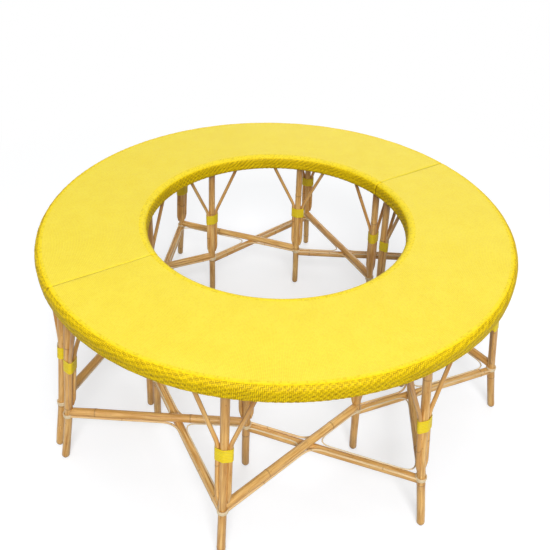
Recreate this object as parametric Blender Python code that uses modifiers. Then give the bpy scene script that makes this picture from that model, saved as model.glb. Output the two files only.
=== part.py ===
"""Circular bench: two half rings of rattan poles under a woven cover, with an open well between them.

Metres, +Z up. The origin is on the floor at the middle of the well. The two halves meet on the plane
y = 0: the rear half lies at +Y and the front half is its mirror image at -Y. Each half has five leg
stations, counted from the +X end to the -X end, and each station has an outer and an inner leg.
"""
import math

import bmesh
import bpy
from mathutils import Matrix, Vector

# Seat
SEAT_RADIUS = 0.560
WELL_RADIUS = 0.311
SEAT_HEIGHT = 0.480
SKIRT_HEIGHT = 0.039
COVER_WALL = 0.003
TOP_EDGE_RADIUS = 0.014
SKIRT_EDGE_RADIUS = 0.008
HEM_WIDTH = 0.013
SEAM_GAP = 0.0015

# Poles and canes, as radii
HOOP_RADIUS = 0.011
RAIL_RADIUS = 0.008
LEG_RADIUS = 0.009
BRACE_RADIUS = 0.0045
STRETCHER_RADIUS = 0.0095
LINING_RADIUS = 0.0024

# Legs: how far a leg's axis stands in from its hoop under the seat, and how far it leans out from
# there to the joint and from the joint to the foot
OUTER_LEG_INSET = 0.020
OUTER_LEG_SPLAY = 0.054
OUTER_LEG_KICK = 0.032
INNER_LEG_INSET = 0.0125
INNER_LEG_SPLAY = 0.020
INNER_LEG_KICK = 0.010
JOINT_HEIGHT = 0.134
GLIDE_HEIGHT = 0.004
GLIDE_TAPER = 0.8
STATION_STEP = math.radians(43.0)
# The second station of each half stands a little off the even step from the middle one
REAR_SECOND_STEP = math.radians(44.1)
FRONT_SECOND_STEP = math.radians(41.3)
END_LEG_INSET = 0.022

# Braces: they lie along the leg, then fork out to the seat frame
BRACE_START = 0.156
BINDING_HEIGHT = 0.283
OUTER_FORK_SPREAD = 0.066
INNER_FORK_SPREAD = 0.081
RADIAL_FORK_SPREAD = 0.038
FORK_TOP_INSET = 0.0075

# Binding: one flat strip wound round a leg and its braces
STRIP_WIDTH = 0.0052
STRIP_THICKNESS = 0.0015
STRIP_GAP = 0.0008
BINDING_TURNS = 5
POINTS_PER_TURN = 8

# Lining cane: thicker where its turns lash a leg's joint
LASHING_SCALE = 1.7
LINING_CORNER = 0.030
LASHING_STEPS = 4
FREE_LASHING_END = math.pi / 2

CLEARANCE = 0.0003
NAILED_DEPTH = 0.0004
RING_STEPS = 22
SKIRT_ARC_STEPS = 2
TOP_ARC_STEPS = 3
POLE_SIDES = 8
CANE_SIDES = 6
LINING_SIDES = 4
STUB = 0.003
WELD_DISTANCE = 0.00001
SHARP_ANGLE = math.radians(40)
STATIONS = (1, 2, 3, 4, 5)
SECOND_STATION = 2
MIDDLE_STATION = 3

# Heights and radii that follow
UNDERSIDE = SEAT_HEIGHT - SKIRT_HEIGHT
HOOP_HEIGHT = SEAT_HEIGHT - COVER_WALL - CLEARANCE - HOOP_RADIUS
HOOP_UNDERSIDE = HOOP_HEIGHT - HOOP_RADIUS
RAIL_LIFT = 0.001
RAIL_HEIGHT = HOOP_UNDERSIDE + RAIL_LIFT + RAIL_RADIUS
HOOP_SIDE_GAP = 0.0015
OUTER_HOOP = SEAT_RADIUS - COVER_WALL - HOOP_SIDE_GAP - HOOP_RADIUS
INNER_HOOP = WELL_RADIUS + COVER_WALL + HOOP_SIDE_GAP + HOOP_RADIUS
HOOP_END = SEAM_GAP + COVER_WALL + CLEARANCE
OUTER_LEG_TOP = OUTER_HOOP - OUTER_LEG_INSET
OUTER_LEG_JOINT = OUTER_LEG_TOP + OUTER_LEG_SPLAY
OUTER_LEG_FOOT = OUTER_LEG_JOINT + OUTER_LEG_KICK
INNER_LEG_TOP = INNER_HOOP + INNER_LEG_INSET
INNER_LEG_JOINT = INNER_LEG_TOP + INNER_LEG_SPLAY
INNER_LEG_FOOT = INNER_LEG_JOINT + INNER_LEG_KICK
LEG_TOP = HOOP_UNDERSIDE + RAIL_LIFT - CLEARANCE
BRACE_TOP = HOOP_UNDERSIDE - CLEARANCE
OUTER_FORK_TOP = OUTER_HOOP - FORK_TOP_INSET
INNER_FORK_TOP = INNER_HOOP + FORK_TOP_INSET
POLE_FLAT = math.cos(math.pi / POLE_SIDES)
CANE_FLAT = math.cos(math.pi / CANE_SIDES)
BRACE_OFFSET = LEG_RADIUS * POLE_FLAT + BRACE_RADIUS * CANE_FLAT - NAILED_DEPTH
STRETCHER_RISE = STRETCHER_RADIUS * POLE_FLAT - NAILED_DEPTH / 2
STRIP_PITCH = STRIP_WIDTH + STRIP_GAP
BINDING_LENGTH = STRIP_PITCH * BINDING_TURNS + STRIP_WIDTH
LASHING_RADIUS = LINING_RADIUS * LASHING_SCALE

COLOURS = {
    "woven_yellow": ((0.94, 0.79, 0.08), 0.55),
    "binding_yellow": ((0.83, 0.60, 0.02), 0.50),
    "rattan": ((0.66, 0.38, 0.13), 0.42),
    "natural_cane": ((0.82, 0.72, 0.52), 0.55),
}


def clear_scene():
    for thing in list(bpy.data.objects):
        bpy.data.objects.remove(thing, do_unlink=True)


def new_collection(name):
    collection = bpy.data.collections.new(name)
    bpy.context.scene.collection.children.link(collection)
    return collection


def make_material(name):
    colour, roughness = COLOURS[name]
    material = bpy.data.materials.new(name)
    material.use_nodes = True
    shader = material.node_tree.nodes["Principled BSDF"]
    shader.inputs["Base Color"].default_value = (*colour, 1.0)
    shader.inputs["Roughness"].default_value = roughness
    shader.inputs["Metallic"].default_value = 0.0
    material.diffuse_color = (*colour, 1.0)
    return material


class Workshop:
    """The two collections and the materials that every piece is made with."""

    def __init__(self):
        self.parts = new_collection("circular_bench")
        self.helpers = new_collection("helpers")
        self.materials = {name: make_material(name) for name in COLOURS}

    def hide(self, helper):
        """Keep a cutter or a guide out of the model."""
        helper.hide_render = True
        helper.display_type = "WIRE"
        for collection in list(helper.users_collection):
            collection.objects.unlink(helper)
        self.helpers.objects.link(helper)

    def dress(self, piece, material):
        piece.data.materials.clear()
        piece.data.materials.append(self.materials[material])


def pole(shop, name, points, radius, sides=POLE_SIDES, scales=None, profile=None):
    """A pole, cane or strip along straight runs between points, with closed ends."""
    curve = bpy.data.curves.new(name, "CURVE")
    curve.dimensions = "3D"
    curve.twist_mode = "MINIMUM"
    curve.use_fill_caps = True
    curve.render_resolution_u = 0
    if profile is None:
        curve.bevel_depth = radius
        curve.bevel_resolution = (sides - 4) // 2
    else:
        curve.twist_mode = "Z_UP"
        curve.bevel_mode = "OBJECT"
        curve.bevel_object = profile
    spline = curve.splines.new("POLY")
    spline.points.add(len(points) - 1)
    for index, place in enumerate(points):
        spline.points[index].co = (*place, 1.0)
        spline.points[index].radius = 1.0 if scales is None else scales[index]
    piece = bpy.data.objects.new(name, curve)
    shop.parts.objects.link(piece)
    return piece


def as_mesh(shop, piece):
    """The same pole as a mesh with its caps welded, so that it can be joined to another."""
    bpy.context.view_layer.update()
    evaluated = piece.evaluated_get(bpy.context.evaluated_depsgraph_get())
    mesh = bpy.data.meshes.new_from_object(evaluated)
    mesh.name = piece.name
    work = bmesh.new()
    work.from_mesh(mesh)
    bmesh.ops.remove_doubles(work, verts=work.verts, dist=WELD_DISTANCE)
    bmesh.ops.recalc_face_normals(work, faces=work.faces)
    work.to_mesh(mesh)
    work.free()
    name, place = piece.name, piece.matrix_world.copy()
    bpy.data.objects.remove(piece, do_unlink=True)
    solid = bpy.data.objects.new(name, mesh)
    solid.matrix_world = place
    shop.parts.objects.link(solid)
    return solid


def nail_together(shop, base, others):
    """Join poles that are nailed to each other: the first keeps its name and takes in the rest."""
    solid = as_mesh(shop, base)
    for number, other in enumerate(others, start=1):
        cutter = as_mesh(shop, other)
        shop.hide(cutter)
        join = solid.modifiers.new(f"nailed_{number}", "BOOLEAN")
        join.operation = "UNION"
        join.solver = "EXACT"
        join.object = cutter
    return solid


def turned(direction, angle):
    """A flat direction turned about +Z."""
    return Matrix.Rotation(angle, 2) @ direction


def signed_angle(start, end):
    """The turn about +Z that takes one flat direction to another, from -pi to pi."""
    return math.atan2(start.x * end.y - start.y * end.x, start.dot(end))


class LegLine:
    """Where one leg's axis runs, at any height."""

    def __init__(self, station, kind):
        self.station = station
        self.outer = kind == "outer"
        if self.outer:
            self.reach = (OUTER_LEG_TOP, OUTER_LEG_JOINT, OUTER_LEG_FOOT)
        else:
            self.reach = (INNER_LEG_TOP, INNER_LEG_JOINT, INNER_LEG_FOOT)

    def distance(self, height):
        top, joint, foot = self.reach
        if height >= JOINT_HEIGHT:
            share = (height - JOINT_HEIGHT) / (UNDERSIDE - JOINT_HEIGHT)
            return joint + (top - joint) * share
        return foot + (joint - foot) * height / JOINT_HEIGHT

    def at(self, height):
        flat = self.station.point(self.distance(height))
        return Vector((flat.x, flat.y, height))

    def slope(self):
        """The steeper of the leg's two leans, sideways per unit of height."""
        top, joint, foot = self.reach
        return max(abs(joint - top) / (UNDERSIDE - JOINT_HEIGHT), abs(foot - joint) / JOINT_HEIGHT)

    def upright(self):
        """Unit vector up the straight stretch above the joint."""
        return (self.at(UNDERSIDE) - self.at(JOINT_HEIGHT)).normalized()


class Station:
    """One place round a half ring where an outer and an inner leg stand."""

    def __init__(self, number, side):
        middle = math.pi / 2
        self.side = side
        self.is_end = number in (STATIONS[0], STATIONS[-1])
        self.bay_sign = 1 if number < MIDDLE_STATION else -1
        if self.is_end:
            angle = 0.0 if number == STATIONS[0] else math.pi
            self.inset = END_LEG_INSET * self.bay_sign
        else:
            angle = middle + (number - MIDDLE_STATION) * STATION_STEP
            if number == SECOND_STATION:
                angle = middle - (REAR_SECOND_STEP if side > 0 else FRONT_SECOND_STEP)
            self.inset = 0.0
        self.angle = angle
        self.out = self.flipped(Vector((math.cos(angle), math.sin(angle))))
        self.along = self.flipped(Vector((-math.sin(angle), math.cos(angle))))

    def flipped(self, flat):
        return Vector((flat.x, flat.y * self.side))

    def point(self, distance, sideways=0.0):
        """A flat point at a distance along the station's line and a step to the side of it."""
        return self.out * distance + self.along * (self.inset + sideways)

    def on_ring(self, radius, arc):
        """A flat point on a ring, a length along it from the leg."""
        angle = self.angle + (self.inset + arc) / radius
        return self.flipped(Vector((math.cos(angle), math.sin(angle)))) * radius


def leg_pole(shop, name, line):
    heights = (0.0, GLIDE_HEIGHT, JOINT_HEIGHT, LEG_TOP - STUB)
    points = [line.at(height) for height in heights]
    points[0].xy = points[1].xy
    crown = points[-1].copy()
    crown.z = LEG_TOP
    points.append(crown)
    return pole(shop, name, points, LEG_RADIUS, scales=(GLIDE_TAPER, 1, 1, 1, 1))


def brace_sides(station, line):
    """For each of a leg's two braces: its flat direction off the leg, and its top under the frame."""
    if line.outer:
        ring, spread, inward = OUTER_FORK_TOP, OUTER_FORK_SPREAD, -1
    else:
        ring, spread, inward = INNER_FORK_TOP, INNER_FORK_SPREAD, 1
    signs = (station.bay_sign,) if station.is_end else (-1, 1)
    sides = [(station.along * sign, station.on_ring(ring, spread * sign), BRACE_TOP) for sign in signs]
    if station.is_end:
        reach = line.distance(LEG_TOP) + inward * (RADIAL_FORK_SPREAD + BRACE_OFFSET)
        sides.append((station.out * inward, station.point(reach), LEG_TOP))
    return sides


def brace_pole(shop, name, line, side):
    direction, top, top_height = side
    offset = Vector((direction.x, direction.y, 0.0)) * BRACE_OFFSET
    fork = BINDING_HEIGHT + BINDING_LENGTH / 2 + BRACE_RADIUS
    points = [line.at(BRACE_START) + offset, line.at(fork) + offset]
    end = Vector((top.x, top.y, top_height))
    points.append(end - Vector((0.0, 0.0, STUB)))
    points.append(end)
    return pole(shop, name, points, BRACE_RADIUS, sides=CANE_SIDES)


def wrap_outline(centres_and_radii, margin, count):
    """Corners of the shape that a tight strip takes round a bundle of round canes."""
    normals = [Vector((math.cos(turn), math.sin(turn))) for turn in
               (2 * math.pi * index / count for index in range(count))]
    reaches = [max(centre.dot(normal) + radius for centre, radius in centres_and_radii) + margin
               for normal in normals]
    corners = []
    for index in range(count):
        one, two = normals[index], normals[(index + 1) % count]
        det = one.x * two.y - one.y * two.x
        first, second = reaches[index], reaches[(index + 1) % count]
        corners.append(Vector(((first * two.y - second * one.y) / det,
                               (second * one.x - first * two.x) / det)))
    return corners


def strip_profile(shop):
    """Flat section of the binding strip: thin across, wide along the leg."""
    curve = bpy.data.curves.new("strip_profile", "CURVE")
    curve.dimensions = "2D"
    curve.render_resolution_u = 0
    spline = curve.splines.new("POLY")
    spline.points.add(3)
    corners = ((-1, -1), (-1, 1), (1, 1), (1, -1))
    for index, (across, along) in enumerate(corners):
        spline.points[index].co = (across * STRIP_THICKNESS / 2, along * STRIP_WIDTH / 2, 0.0, 1.0)
    spline.use_cyclic_u = True
    profile = bpy.data.objects.new("strip_profile", curve)
    shop.parts.objects.link(profile)
    shop.hide(profile)
    return profile


def least_turn_gap(points):
    """Least gap along the leg between one turn of the strip and the next."""
    turns = zip(points, points[POINTS_PER_TURN:])
    return min((after - before).length for before, after in turns) - STRIP_WIDTH


def binding(shop, name, line, sides, profile):
    """A strip wound round a leg and its braces, in the leg's own frame."""
    upright = line.upright()
    across = Vector((line.station.along.x, line.station.along.y, 0.0)).normalized()
    deep = upright.cross(across)
    middle = line.at(BINDING_HEIGHT)
    bundle = [(Vector((0.0, 0.0)), LEG_RADIUS)]
    for direction, _, _ in sides:
        offset = Vector((direction.x, direction.y, 0.0)) * BRACE_OFFSET
        bundle.append((Vector((offset.dot(across), offset.dot(deep))), BRACE_RADIUS))
    outline = wrap_outline(bundle, CLEARANCE + STRIP_THICKNESS / 2, POINTS_PER_TURN)
    count = POINTS_PER_TURN * BINDING_TURNS
    points = []
    for index in range(count + 1):
        corner = outline[index % POINTS_PER_TURN]
        rise = (index / count - 0.5) * BINDING_TURNS * STRIP_PITCH
        points.append(Vector((corner.x, corner.y, rise)))
    strip = pole(shop, name, points, STRIP_THICKNESS, profile=profile)
    frame = Matrix((across, deep, upright)).transposed().to_4x4()
    strip.matrix_world = Matrix.Translation(middle) @ frame
    return least_turn_gap(points)


def stretcher(shop, name, start_line, end_line, height):
    """A straight pole from leg to leg, its flat ends just clear of both."""
    start, end = start_line.at(height), end_line.at(height)
    direction = (end - start).normalized()
    trim_start = LEG_RADIUS + CLEARANCE + STRETCHER_RADIUS * start_line.slope()
    trim_end = LEG_RADIUS + CLEARANCE + STRETCHER_RADIUS * end_line.slope()
    points = [start + direction * trim_start, end - direction * trim_end]
    return pole(shop, name, points, STRETCHER_RADIUS)


def crossing(one_start, one_end, two_start, two_end):
    """Where two flat lines cross."""
    one, two = one_end - one_start, two_end - two_start
    gap = two_start - one_start
    share = (gap.x * two.y - gap.y * two.x) / (one.x * two.y - one.y * two.x)
    return one_start + one * share


def bay_crossing(outer, inner, bay):
    """Where the two stretchers of a bay cross, seen from above."""
    ends = [line.at(JOINT_HEIGHT).xy for line in
            (outer[bay + 1], inner[bay], inner[bay + 1], outer[bay])]
    return crossing(*ends)


def lashing_radius(line):
    """Radius at which the lashing's middle goes round a leg, allowing for its facets and the lean."""
    step = math.pi / (2 * LASHING_STEPS)
    lean = LASHING_RADIUS * line.slope()
    return (LEG_RADIUS + CLEARANCE + lean) / math.cos(step) + LASHING_RADIUS


def lining_arms(lines, crossings):
    """The flat routes of the lining cane in each bay, from leg to crossing to leg."""
    valley = math.sqrt((STRETCHER_RADIUS + LINING_RADIUS + CLEARANCE) ** 2 - STRETCHER_RISE ** 2)
    arms = {}
    for bay, cross in crossings.items():
        feet = [lines[bay].at(JOINT_HEIGHT).xy, lines[bay + 1].at(JOINT_HEIGHT).xy]
        first, second = [(foot - cross).normalized() for foot in feet]
        half_angle = abs(signed_angle(first, second)) / 2
        corner = cross + (first + second).normalized() * valley / math.sin(half_angle)
        before, after = corner + first * LINING_CORNER, corner + second * LINING_CORNER
        arms[bay] = (before, (before + after + corner * 2) / 4, after)
    return arms, valley


def lining(shop, name, lines, crossings):
    """One cane that follows the stretchers of every bay and lashes each leg on its free side."""
    arms, valley = lining_arms(lines, crossings)
    route, scales = [], []
    for number in STATIONS:
        line = lines[number]
        axis = line.at(JOINT_HEIGHT).xy
        outward = line.station.out * (1 if line.outer else -1)
        round_leg = lashing_radius(line)
        beside = math.asin(valley / round_leg)
        clear = math.asin((valley + LASHING_RADIUS) / (round_leg + LINING_RADIUS))
        before, after = [signed_angle(outward, crossings[bay] - axis) if bay in crossings else None
                         for bay in (number - 1, number)]
        turn = math.copysign(1.0, -before if after is None else after)
        first = -turn * FREE_LASHING_END if before is None else before + turn * clear
        last = turn * FREE_LASHING_END if after is None else after - turn * clear
        if before is not None:
            route.append(axis + turned(outward, before + turn * beside) * round_leg)
            scales.append(1.0)
        for index in range(LASHING_STEPS + 1):
            angle = first + (last - first) * index / LASHING_STEPS
            route.append(axis + turned(outward, angle) * round_leg)
            scales.append(LASHING_SCALE)
        if after is not None:
            route.append(axis + turned(outward, after - turn * beside) * round_leg)
            scales.append(1.0)
            route.extend(arms[number])
            scales.extend((1.0, 1.0, 1.0))
    points = [Vector((flat.x, flat.y, JOINT_HEIGHT)) for flat in route]
    return pole(shop, name, points, LINING_RADIUS, sides=LINING_SIDES, scales=scales)


def hoop(shop, name, radius, side):
    """A half hoop, from one end wall of the cover to the other."""
    start = math.asin(HOOP_END / radius)
    points = []
    for index in range(RING_STEPS + 1):
        angle = start + (math.pi - 2 * start) * index / RING_STEPS
        points.append(Vector((radius * math.cos(angle), side * radius * math.sin(angle), HOOP_HEIGHT)))
    return pole(shop, name, points, HOOP_RADIUS)


def seat_frame(shop, name, stations, side):
    """Outer and inner hoop with a rail across them over each pair of legs."""
    outer = hoop(shop, name, OUTER_HOOP, side)
    others = [hoop(shop, f"{name}_inner_hoop", INNER_HOOP, side)]
    for number in STATIONS:
        station = stations[number]
        ends = [station.point(math.sqrt(radius ** 2 - station.inset ** 2)) for radius in
                (INNER_HOOP, OUTER_HOOP)]
        points = [Vector((flat.x, flat.y, RAIL_HEIGHT)) for flat in ends]
        others.append(pole(shop, f"{name}_rail_{number}", points, RAIL_RADIUS))
    return nail_together(shop, outer, others)


def cover_profile():
    """Half of the cover's section as (distance from the wall of the skirt, height), hem to top."""
    points = [(HEM_WIDTH, UNDERSIDE)]
    for index in range(SKIRT_ARC_STEPS + 1):
        angle = math.pi / 2 * index / SKIRT_ARC_STEPS
        points.append((SKIRT_EDGE_RADIUS * (1 - math.sin(angle)),
                       UNDERSIDE + SKIRT_EDGE_RADIUS * (1 - math.cos(angle))))
    for index in range(TOP_ARC_STEPS + 1):
        angle = math.pi / 2 * index / TOP_ARC_STEPS
        points.append((TOP_EDGE_RADIUS * (1 - math.cos(angle)),
                       SEAT_HEIGHT - TOP_EDGE_RADIUS * (1 - math.sin(angle))))
    return points


def seat_cover(shop, name, side):
    """Woven cover: a shell over the hoops, with end walls at the seam and a hem turned under."""
    half = cover_profile()
    section = [(SEAT_RADIUS - inset, height) for inset, height in half]
    section += [(WELL_RADIUS + inset, height) for inset, height in reversed(half)]
    start = math.asin(SEAM_GAP / 2 / SEAT_RADIUS)
    turn = Matrix.Rotation(start, 3, "Z")
    work = bmesh.new()
    verts = [work.verts.new(turn @ Vector((radius, 0.0, height))) for radius, height in section]
    edges = [work.edges.new(pair) for pair in zip(verts, verts[1:])]
    work.faces.new(verts)
    made = bmesh.ops.spin(work, geom=verts + edges, cent=(0, 0, 0), axis=(0, 0, 1),
                          angle=math.pi - 2 * start, steps=RING_STEPS, use_duplicate=False)
    last = [item for item in made["geom_last"] if isinstance(item, bmesh.types.BMVert)]
    ordered = sorted(last, key=lambda vert: section_order(vert, section))
    work.faces.new(ordered)
    if side < 0:
        bmesh.ops.scale(work, vec=(1, -1, 1), verts=work.verts)
    bmesh.ops.recalc_face_normals(work, faces=work.faces)
    top = max(work.faces, key=lambda face: face.calc_center_median().z)
    top.normal_update()
    if top.normal.z < 0:
        bmesh.ops.reverse_faces(work, faces=work.faces)
    mesh = bpy.data.meshes.new(name)
    work.to_mesh(mesh)
    work.free()
    cover = bpy.data.objects.new(name, mesh)
    shop.parts.objects.link(cover)
    wall = cover.modifiers.new("wall", "SOLIDIFY")
    wall.thickness = COVER_WALL
    wall.offset = -1.0
    wall.use_even_offset = True
    wall.use_quality_normals = True
    return cover


def section_order(vert, section):
    """Which point of the section a spun corner came from."""
    radius = math.hypot(vert.co.x, vert.co.y)
    gaps = [abs(radius - place) + abs(vert.co.z - height) for place, height in section]
    return gaps.index(min(gaps))


def build_half(shop, half, side, profile):
    """Every piece of one half; side is +1 at the rear and -1 at the front."""
    stations = {number: Station(number, side) for number in STATIONS}
    lines = {kind: {number: LegLine(stations[number], kind) for number in STATIONS}
             for kind in ("outer", "inner")}
    shop.dress(seat_cover(shop, f"{half}_seat_cover", side), "woven_yellow")
    shop.dress(seat_frame(shop, f"{half}_seat_frame", stations, side), "rattan")
    least_gap = math.inf
    for kind, legs in lines.items():
        for number, line in legs.items():
            sides = brace_sides(stations[number], line)
            name = f"{half}_{kind}_leg_{number}"
            braces = [brace_pole(shop, f"{name}_brace_{index}", line, brace)
                      for index, brace in enumerate(sides, start=1)]
            shop.dress(nail_together(shop, leg_pole(shop, name, line), braces), "rattan")
            strip_name = f"{half}_{kind}_binding_{number}"
            least_gap = min(least_gap, binding(shop, strip_name, line, sides, profile))
            shop.dress(bpy.data.objects[strip_name], "binding_yellow")
    outer, inner = lines["outer"], lines["inner"]
    crossings = {}
    for bay in STATIONS[:-1]:
        high, low = JOINT_HEIGHT + STRETCHER_RISE, JOINT_HEIGHT - STRETCHER_RISE
        name = f"{half}_stretchers_{bay}"
        upper = stretcher(shop, name, outer[bay + 1], inner[bay], high)
        lower = stretcher(shop, f"{name}_lower", inner[bay + 1], outer[bay], low)
        shop.dress(nail_together(shop, upper, [lower]), "rattan")
        crossings[bay] = bay_crossing(outer, inner, bay)
    for kind, legs in lines.items():
        shop.dress(lining(shop, f"{half}_{kind}_lining", legs, crossings), "natural_cane")
    return least_gap


def shade_poles(shop):
    for piece in shop.parts.objects:
        if piece.type == "MESH":
            piece.data.shade_smooth()
            piece.data.set_sharp_from_angle(angle=SHARP_ANGLE)


def main():
    clear_scene()
    shop = Workshop()
    profile = strip_profile(shop)
    gaps = [build_half(shop, "rear", 1, profile), build_half(shop, "front", -1, profile)]
    shade_poles(shop)
    print(f"least gap between a binding's turns: {min(gaps) * 1000:.2f} mm")


main()
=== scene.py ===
"""The looks of the circular bench: two half rings of rattan poles under a woven yellow cover.

Every size is in metres, in the frame's own axes: +Z up, the origin on the floor at the middle of the
well, the seam between the two halves along X.
"""
import logging
import math
from dataclasses import dataclass, field
from enum import Enum
from typing import Optional, Sequence

import bpy
import numpy as np
from mathutils import Matrix, Vector


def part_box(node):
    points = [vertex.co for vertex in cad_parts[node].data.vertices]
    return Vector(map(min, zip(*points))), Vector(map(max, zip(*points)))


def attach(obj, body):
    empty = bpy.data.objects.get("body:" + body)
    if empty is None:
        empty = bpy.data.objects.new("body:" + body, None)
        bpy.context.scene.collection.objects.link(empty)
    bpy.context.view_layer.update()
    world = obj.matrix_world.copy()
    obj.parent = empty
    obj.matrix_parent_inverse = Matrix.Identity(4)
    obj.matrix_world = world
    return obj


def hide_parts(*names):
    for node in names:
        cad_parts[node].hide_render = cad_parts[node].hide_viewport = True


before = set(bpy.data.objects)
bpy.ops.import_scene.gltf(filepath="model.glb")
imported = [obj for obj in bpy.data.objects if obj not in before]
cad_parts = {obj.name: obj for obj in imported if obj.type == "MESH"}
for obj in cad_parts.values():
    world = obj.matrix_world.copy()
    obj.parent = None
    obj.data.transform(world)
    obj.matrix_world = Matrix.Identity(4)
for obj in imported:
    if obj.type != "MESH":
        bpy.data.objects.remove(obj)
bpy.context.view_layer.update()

log = logging.getLogger("circular_bench")

Array = np.ndarray
Colour = tuple[float, float, float]
UP = np.array((0.0, 0.0, 1.0))
# A rounded corner of a route: its points, and the most of a straight run that it takes up.
CORNER_POINTS = 9
CORNER_SHARE = 0.45
# Length by which each seed shifts the grain of a cane.
SEED_STRIDE = 1.37
# The body on which every piece rides.
BODY = "root"
# The values that a mesh gives its material: a cane's straightened coordinates; the dark lines of its knots,
# and on a winding the painted shade in its cracks; the shade of the cane itself and of its cut ends; and the
# strands counted round and down the cover, with their height as painted shade and the painted shade at the
# seam.
STRAIGHT = "straight"
TINT = "tint"
STRANDS = "strands"


class Half(Enum):
    """The two half rings; the value is the side of the seam that each stands on."""

    REAR = 1
    FRONT = -1

    @property
    def word(self) -> str:
        """The half's name in the names of nodes and pieces."""
        return self.name.lower()


class Row(Enum):
    """The two rings of legs."""

    OUTER = "outer"
    INNER = "inner"


class Weave(Enum):
    """How the strands of the cover cross."""

    FINE = "fine"
    TWILL = "twill"


class Slot(Enum):
    """The names of the material slots."""

    WOVEN = "woven_yellow"
    BINDING = "binding_yellow"
    RATTAN = "rattan"
    CANE = "natural_cane"


@dataclass(frozen=True)
class Plan:
    """The sizes that every sub-assembly shares, as the frame has them.

    The first six are read from the frame, and the others are the frame's own sizes that a box can't show.
    The rooms are what is left between the cover and the hoops, above and beside them, and the depth to
    which the legs reach into the seat frame.
    """

    seat_radius: float
    seat_height: float
    underside: float
    seam_gap: float
    outer_foot: float
    inner_foot: float
    well_radius: float = 0.311
    outer_top: float = 0.5245
    outer_joint: float = 0.5785
    inner_top: float = 0.339
    inner_joint: float = 0.359
    joint_height: float = 0.134
    leg_radius: float = 0.009
    brace_radius: float = 0.0045
    station_step: float = math.radians(43.0)
    rear_second_step: float = math.radians(44.1)
    front_second_step: float = math.radians(41.3)
    end_inset: float = 0.022
    hoop_radius: float = 0.011
    rail_radius: float = 0.008
    cover_wall: float = 0.003
    cover_room: float = 0.0003
    hoop_room: float = 0.0015
    seat_room: float = 0.0007
    stations: tuple[int, ...] = (1, 2, 3, 4, 5)

    @classmethod
    def read(cls) -> "Plan":
        """Take what the frame's boxes show.

        Returns:
            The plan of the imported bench.
        """
        low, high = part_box("rear_seat_cover")
        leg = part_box("rear_outer_leg_3")[1][1] - cls.leg_radius
        inner_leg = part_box("rear_inner_leg_3")[1][1] - cls.leg_radius
        return cls(high[1], high[2], low[2], 2 * low[1], leg, inner_leg)

    @property
    def hoop_height(self) -> float:
        """Height of the hoops' axes, just under the cover."""
        return self.seat_height - self.cover_wall - self.hoop_radius - self.cover_room

    @property
    def outer_hoop(self) -> float:
        """Radius of the outer hoop's axis."""
        return self.seat_radius - self.cover_wall - self.hoop_radius - self.hoop_room

    @property
    def inner_hoop(self) -> float:
        """Radius of the inner hoop's axis."""
        return self.well_radius + self.cover_wall + self.hoop_radius + self.hoop_room

    @property
    def leg_top(self) -> float:
        """Height at which the legs meet the rails."""
        return self.hoop_height - self.hoop_radius + self.seat_room


PLAN = Plan.read()


@dataclass(frozen=True)
class Station:
    """One place round a half ring where an outer and an inner leg stand.

    Attributes:
        number: The station's place, from 1 at the +X end to 5 at the -X end.
        half: The half ring that it belongs to.
    """

    number: int
    half: Half

    @property
    def is_end(self) -> bool:
        """True for the two stations next to the seam."""
        return self.number in (PLAN.stations[0], PLAN.stations[-1])

    @property
    def from_middle(self) -> int:
        """How many stations it stands from the middle one, below zero on the +X side."""
        return self.number - PLAN.stations[len(PLAN.stations) // 2]

    @property
    def bay_sign(self) -> int:
        """The way along the ring, as the angle grows, in which an end station's bay lies."""
        return 1 if self.from_middle < 0 else -1

    @property
    def angle(self) -> float:
        """The station's angle round the rear half."""
        if self.is_end:
            return 0.0 if self.number == PLAN.stations[0] else math.pi
        if self.number == PLAN.stations[1]:
            own_step = PLAN.rear_second_step if self.half is Half.REAR else PLAN.front_second_step
            return math.pi / 2 - own_step
        return math.pi / 2 + self.from_middle * PLAN.station_step

    @property
    def inset(self) -> float:
        """How far an end station's legs stand along the ring from the seam."""
        return PLAN.end_inset * self.bay_sign if self.is_end else 0.0

    def flat(self, x: float, y: float) -> Array:
        """A level direction or place, turned to this half."""
        return np.array((x, y * self.half.value, 0.0))

    @property
    def out(self) -> Array:
        """Level direction away from the middle of the bench."""
        return self.flat(math.cos(self.angle), math.sin(self.angle))

    @property
    def along(self) -> Array:
        """Level direction along the ring."""
        return self.flat(-math.sin(self.angle), math.cos(self.angle))

    def point(self, distance: float, sideways: float = 0.0, height: float = 0.0) -> Array:
        """A place on the station's line.

        Args:
            distance: How far from the middle of the bench.
            sideways: A step along the ring from the line.
            height: Height above the floor.

        Returns:
            The place.
        """
        return self.out * distance + self.along * (self.inset + sideways) + UP * height

    def on_ring(self, radius: float, arc: float, height: float) -> Array:
        """A place on a ring, a length along it from the station."""
        angle = self.angle + (self.inset + arc) / radius
        return self.flat(math.cos(angle), math.sin(angle)) * radius + UP * height


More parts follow.
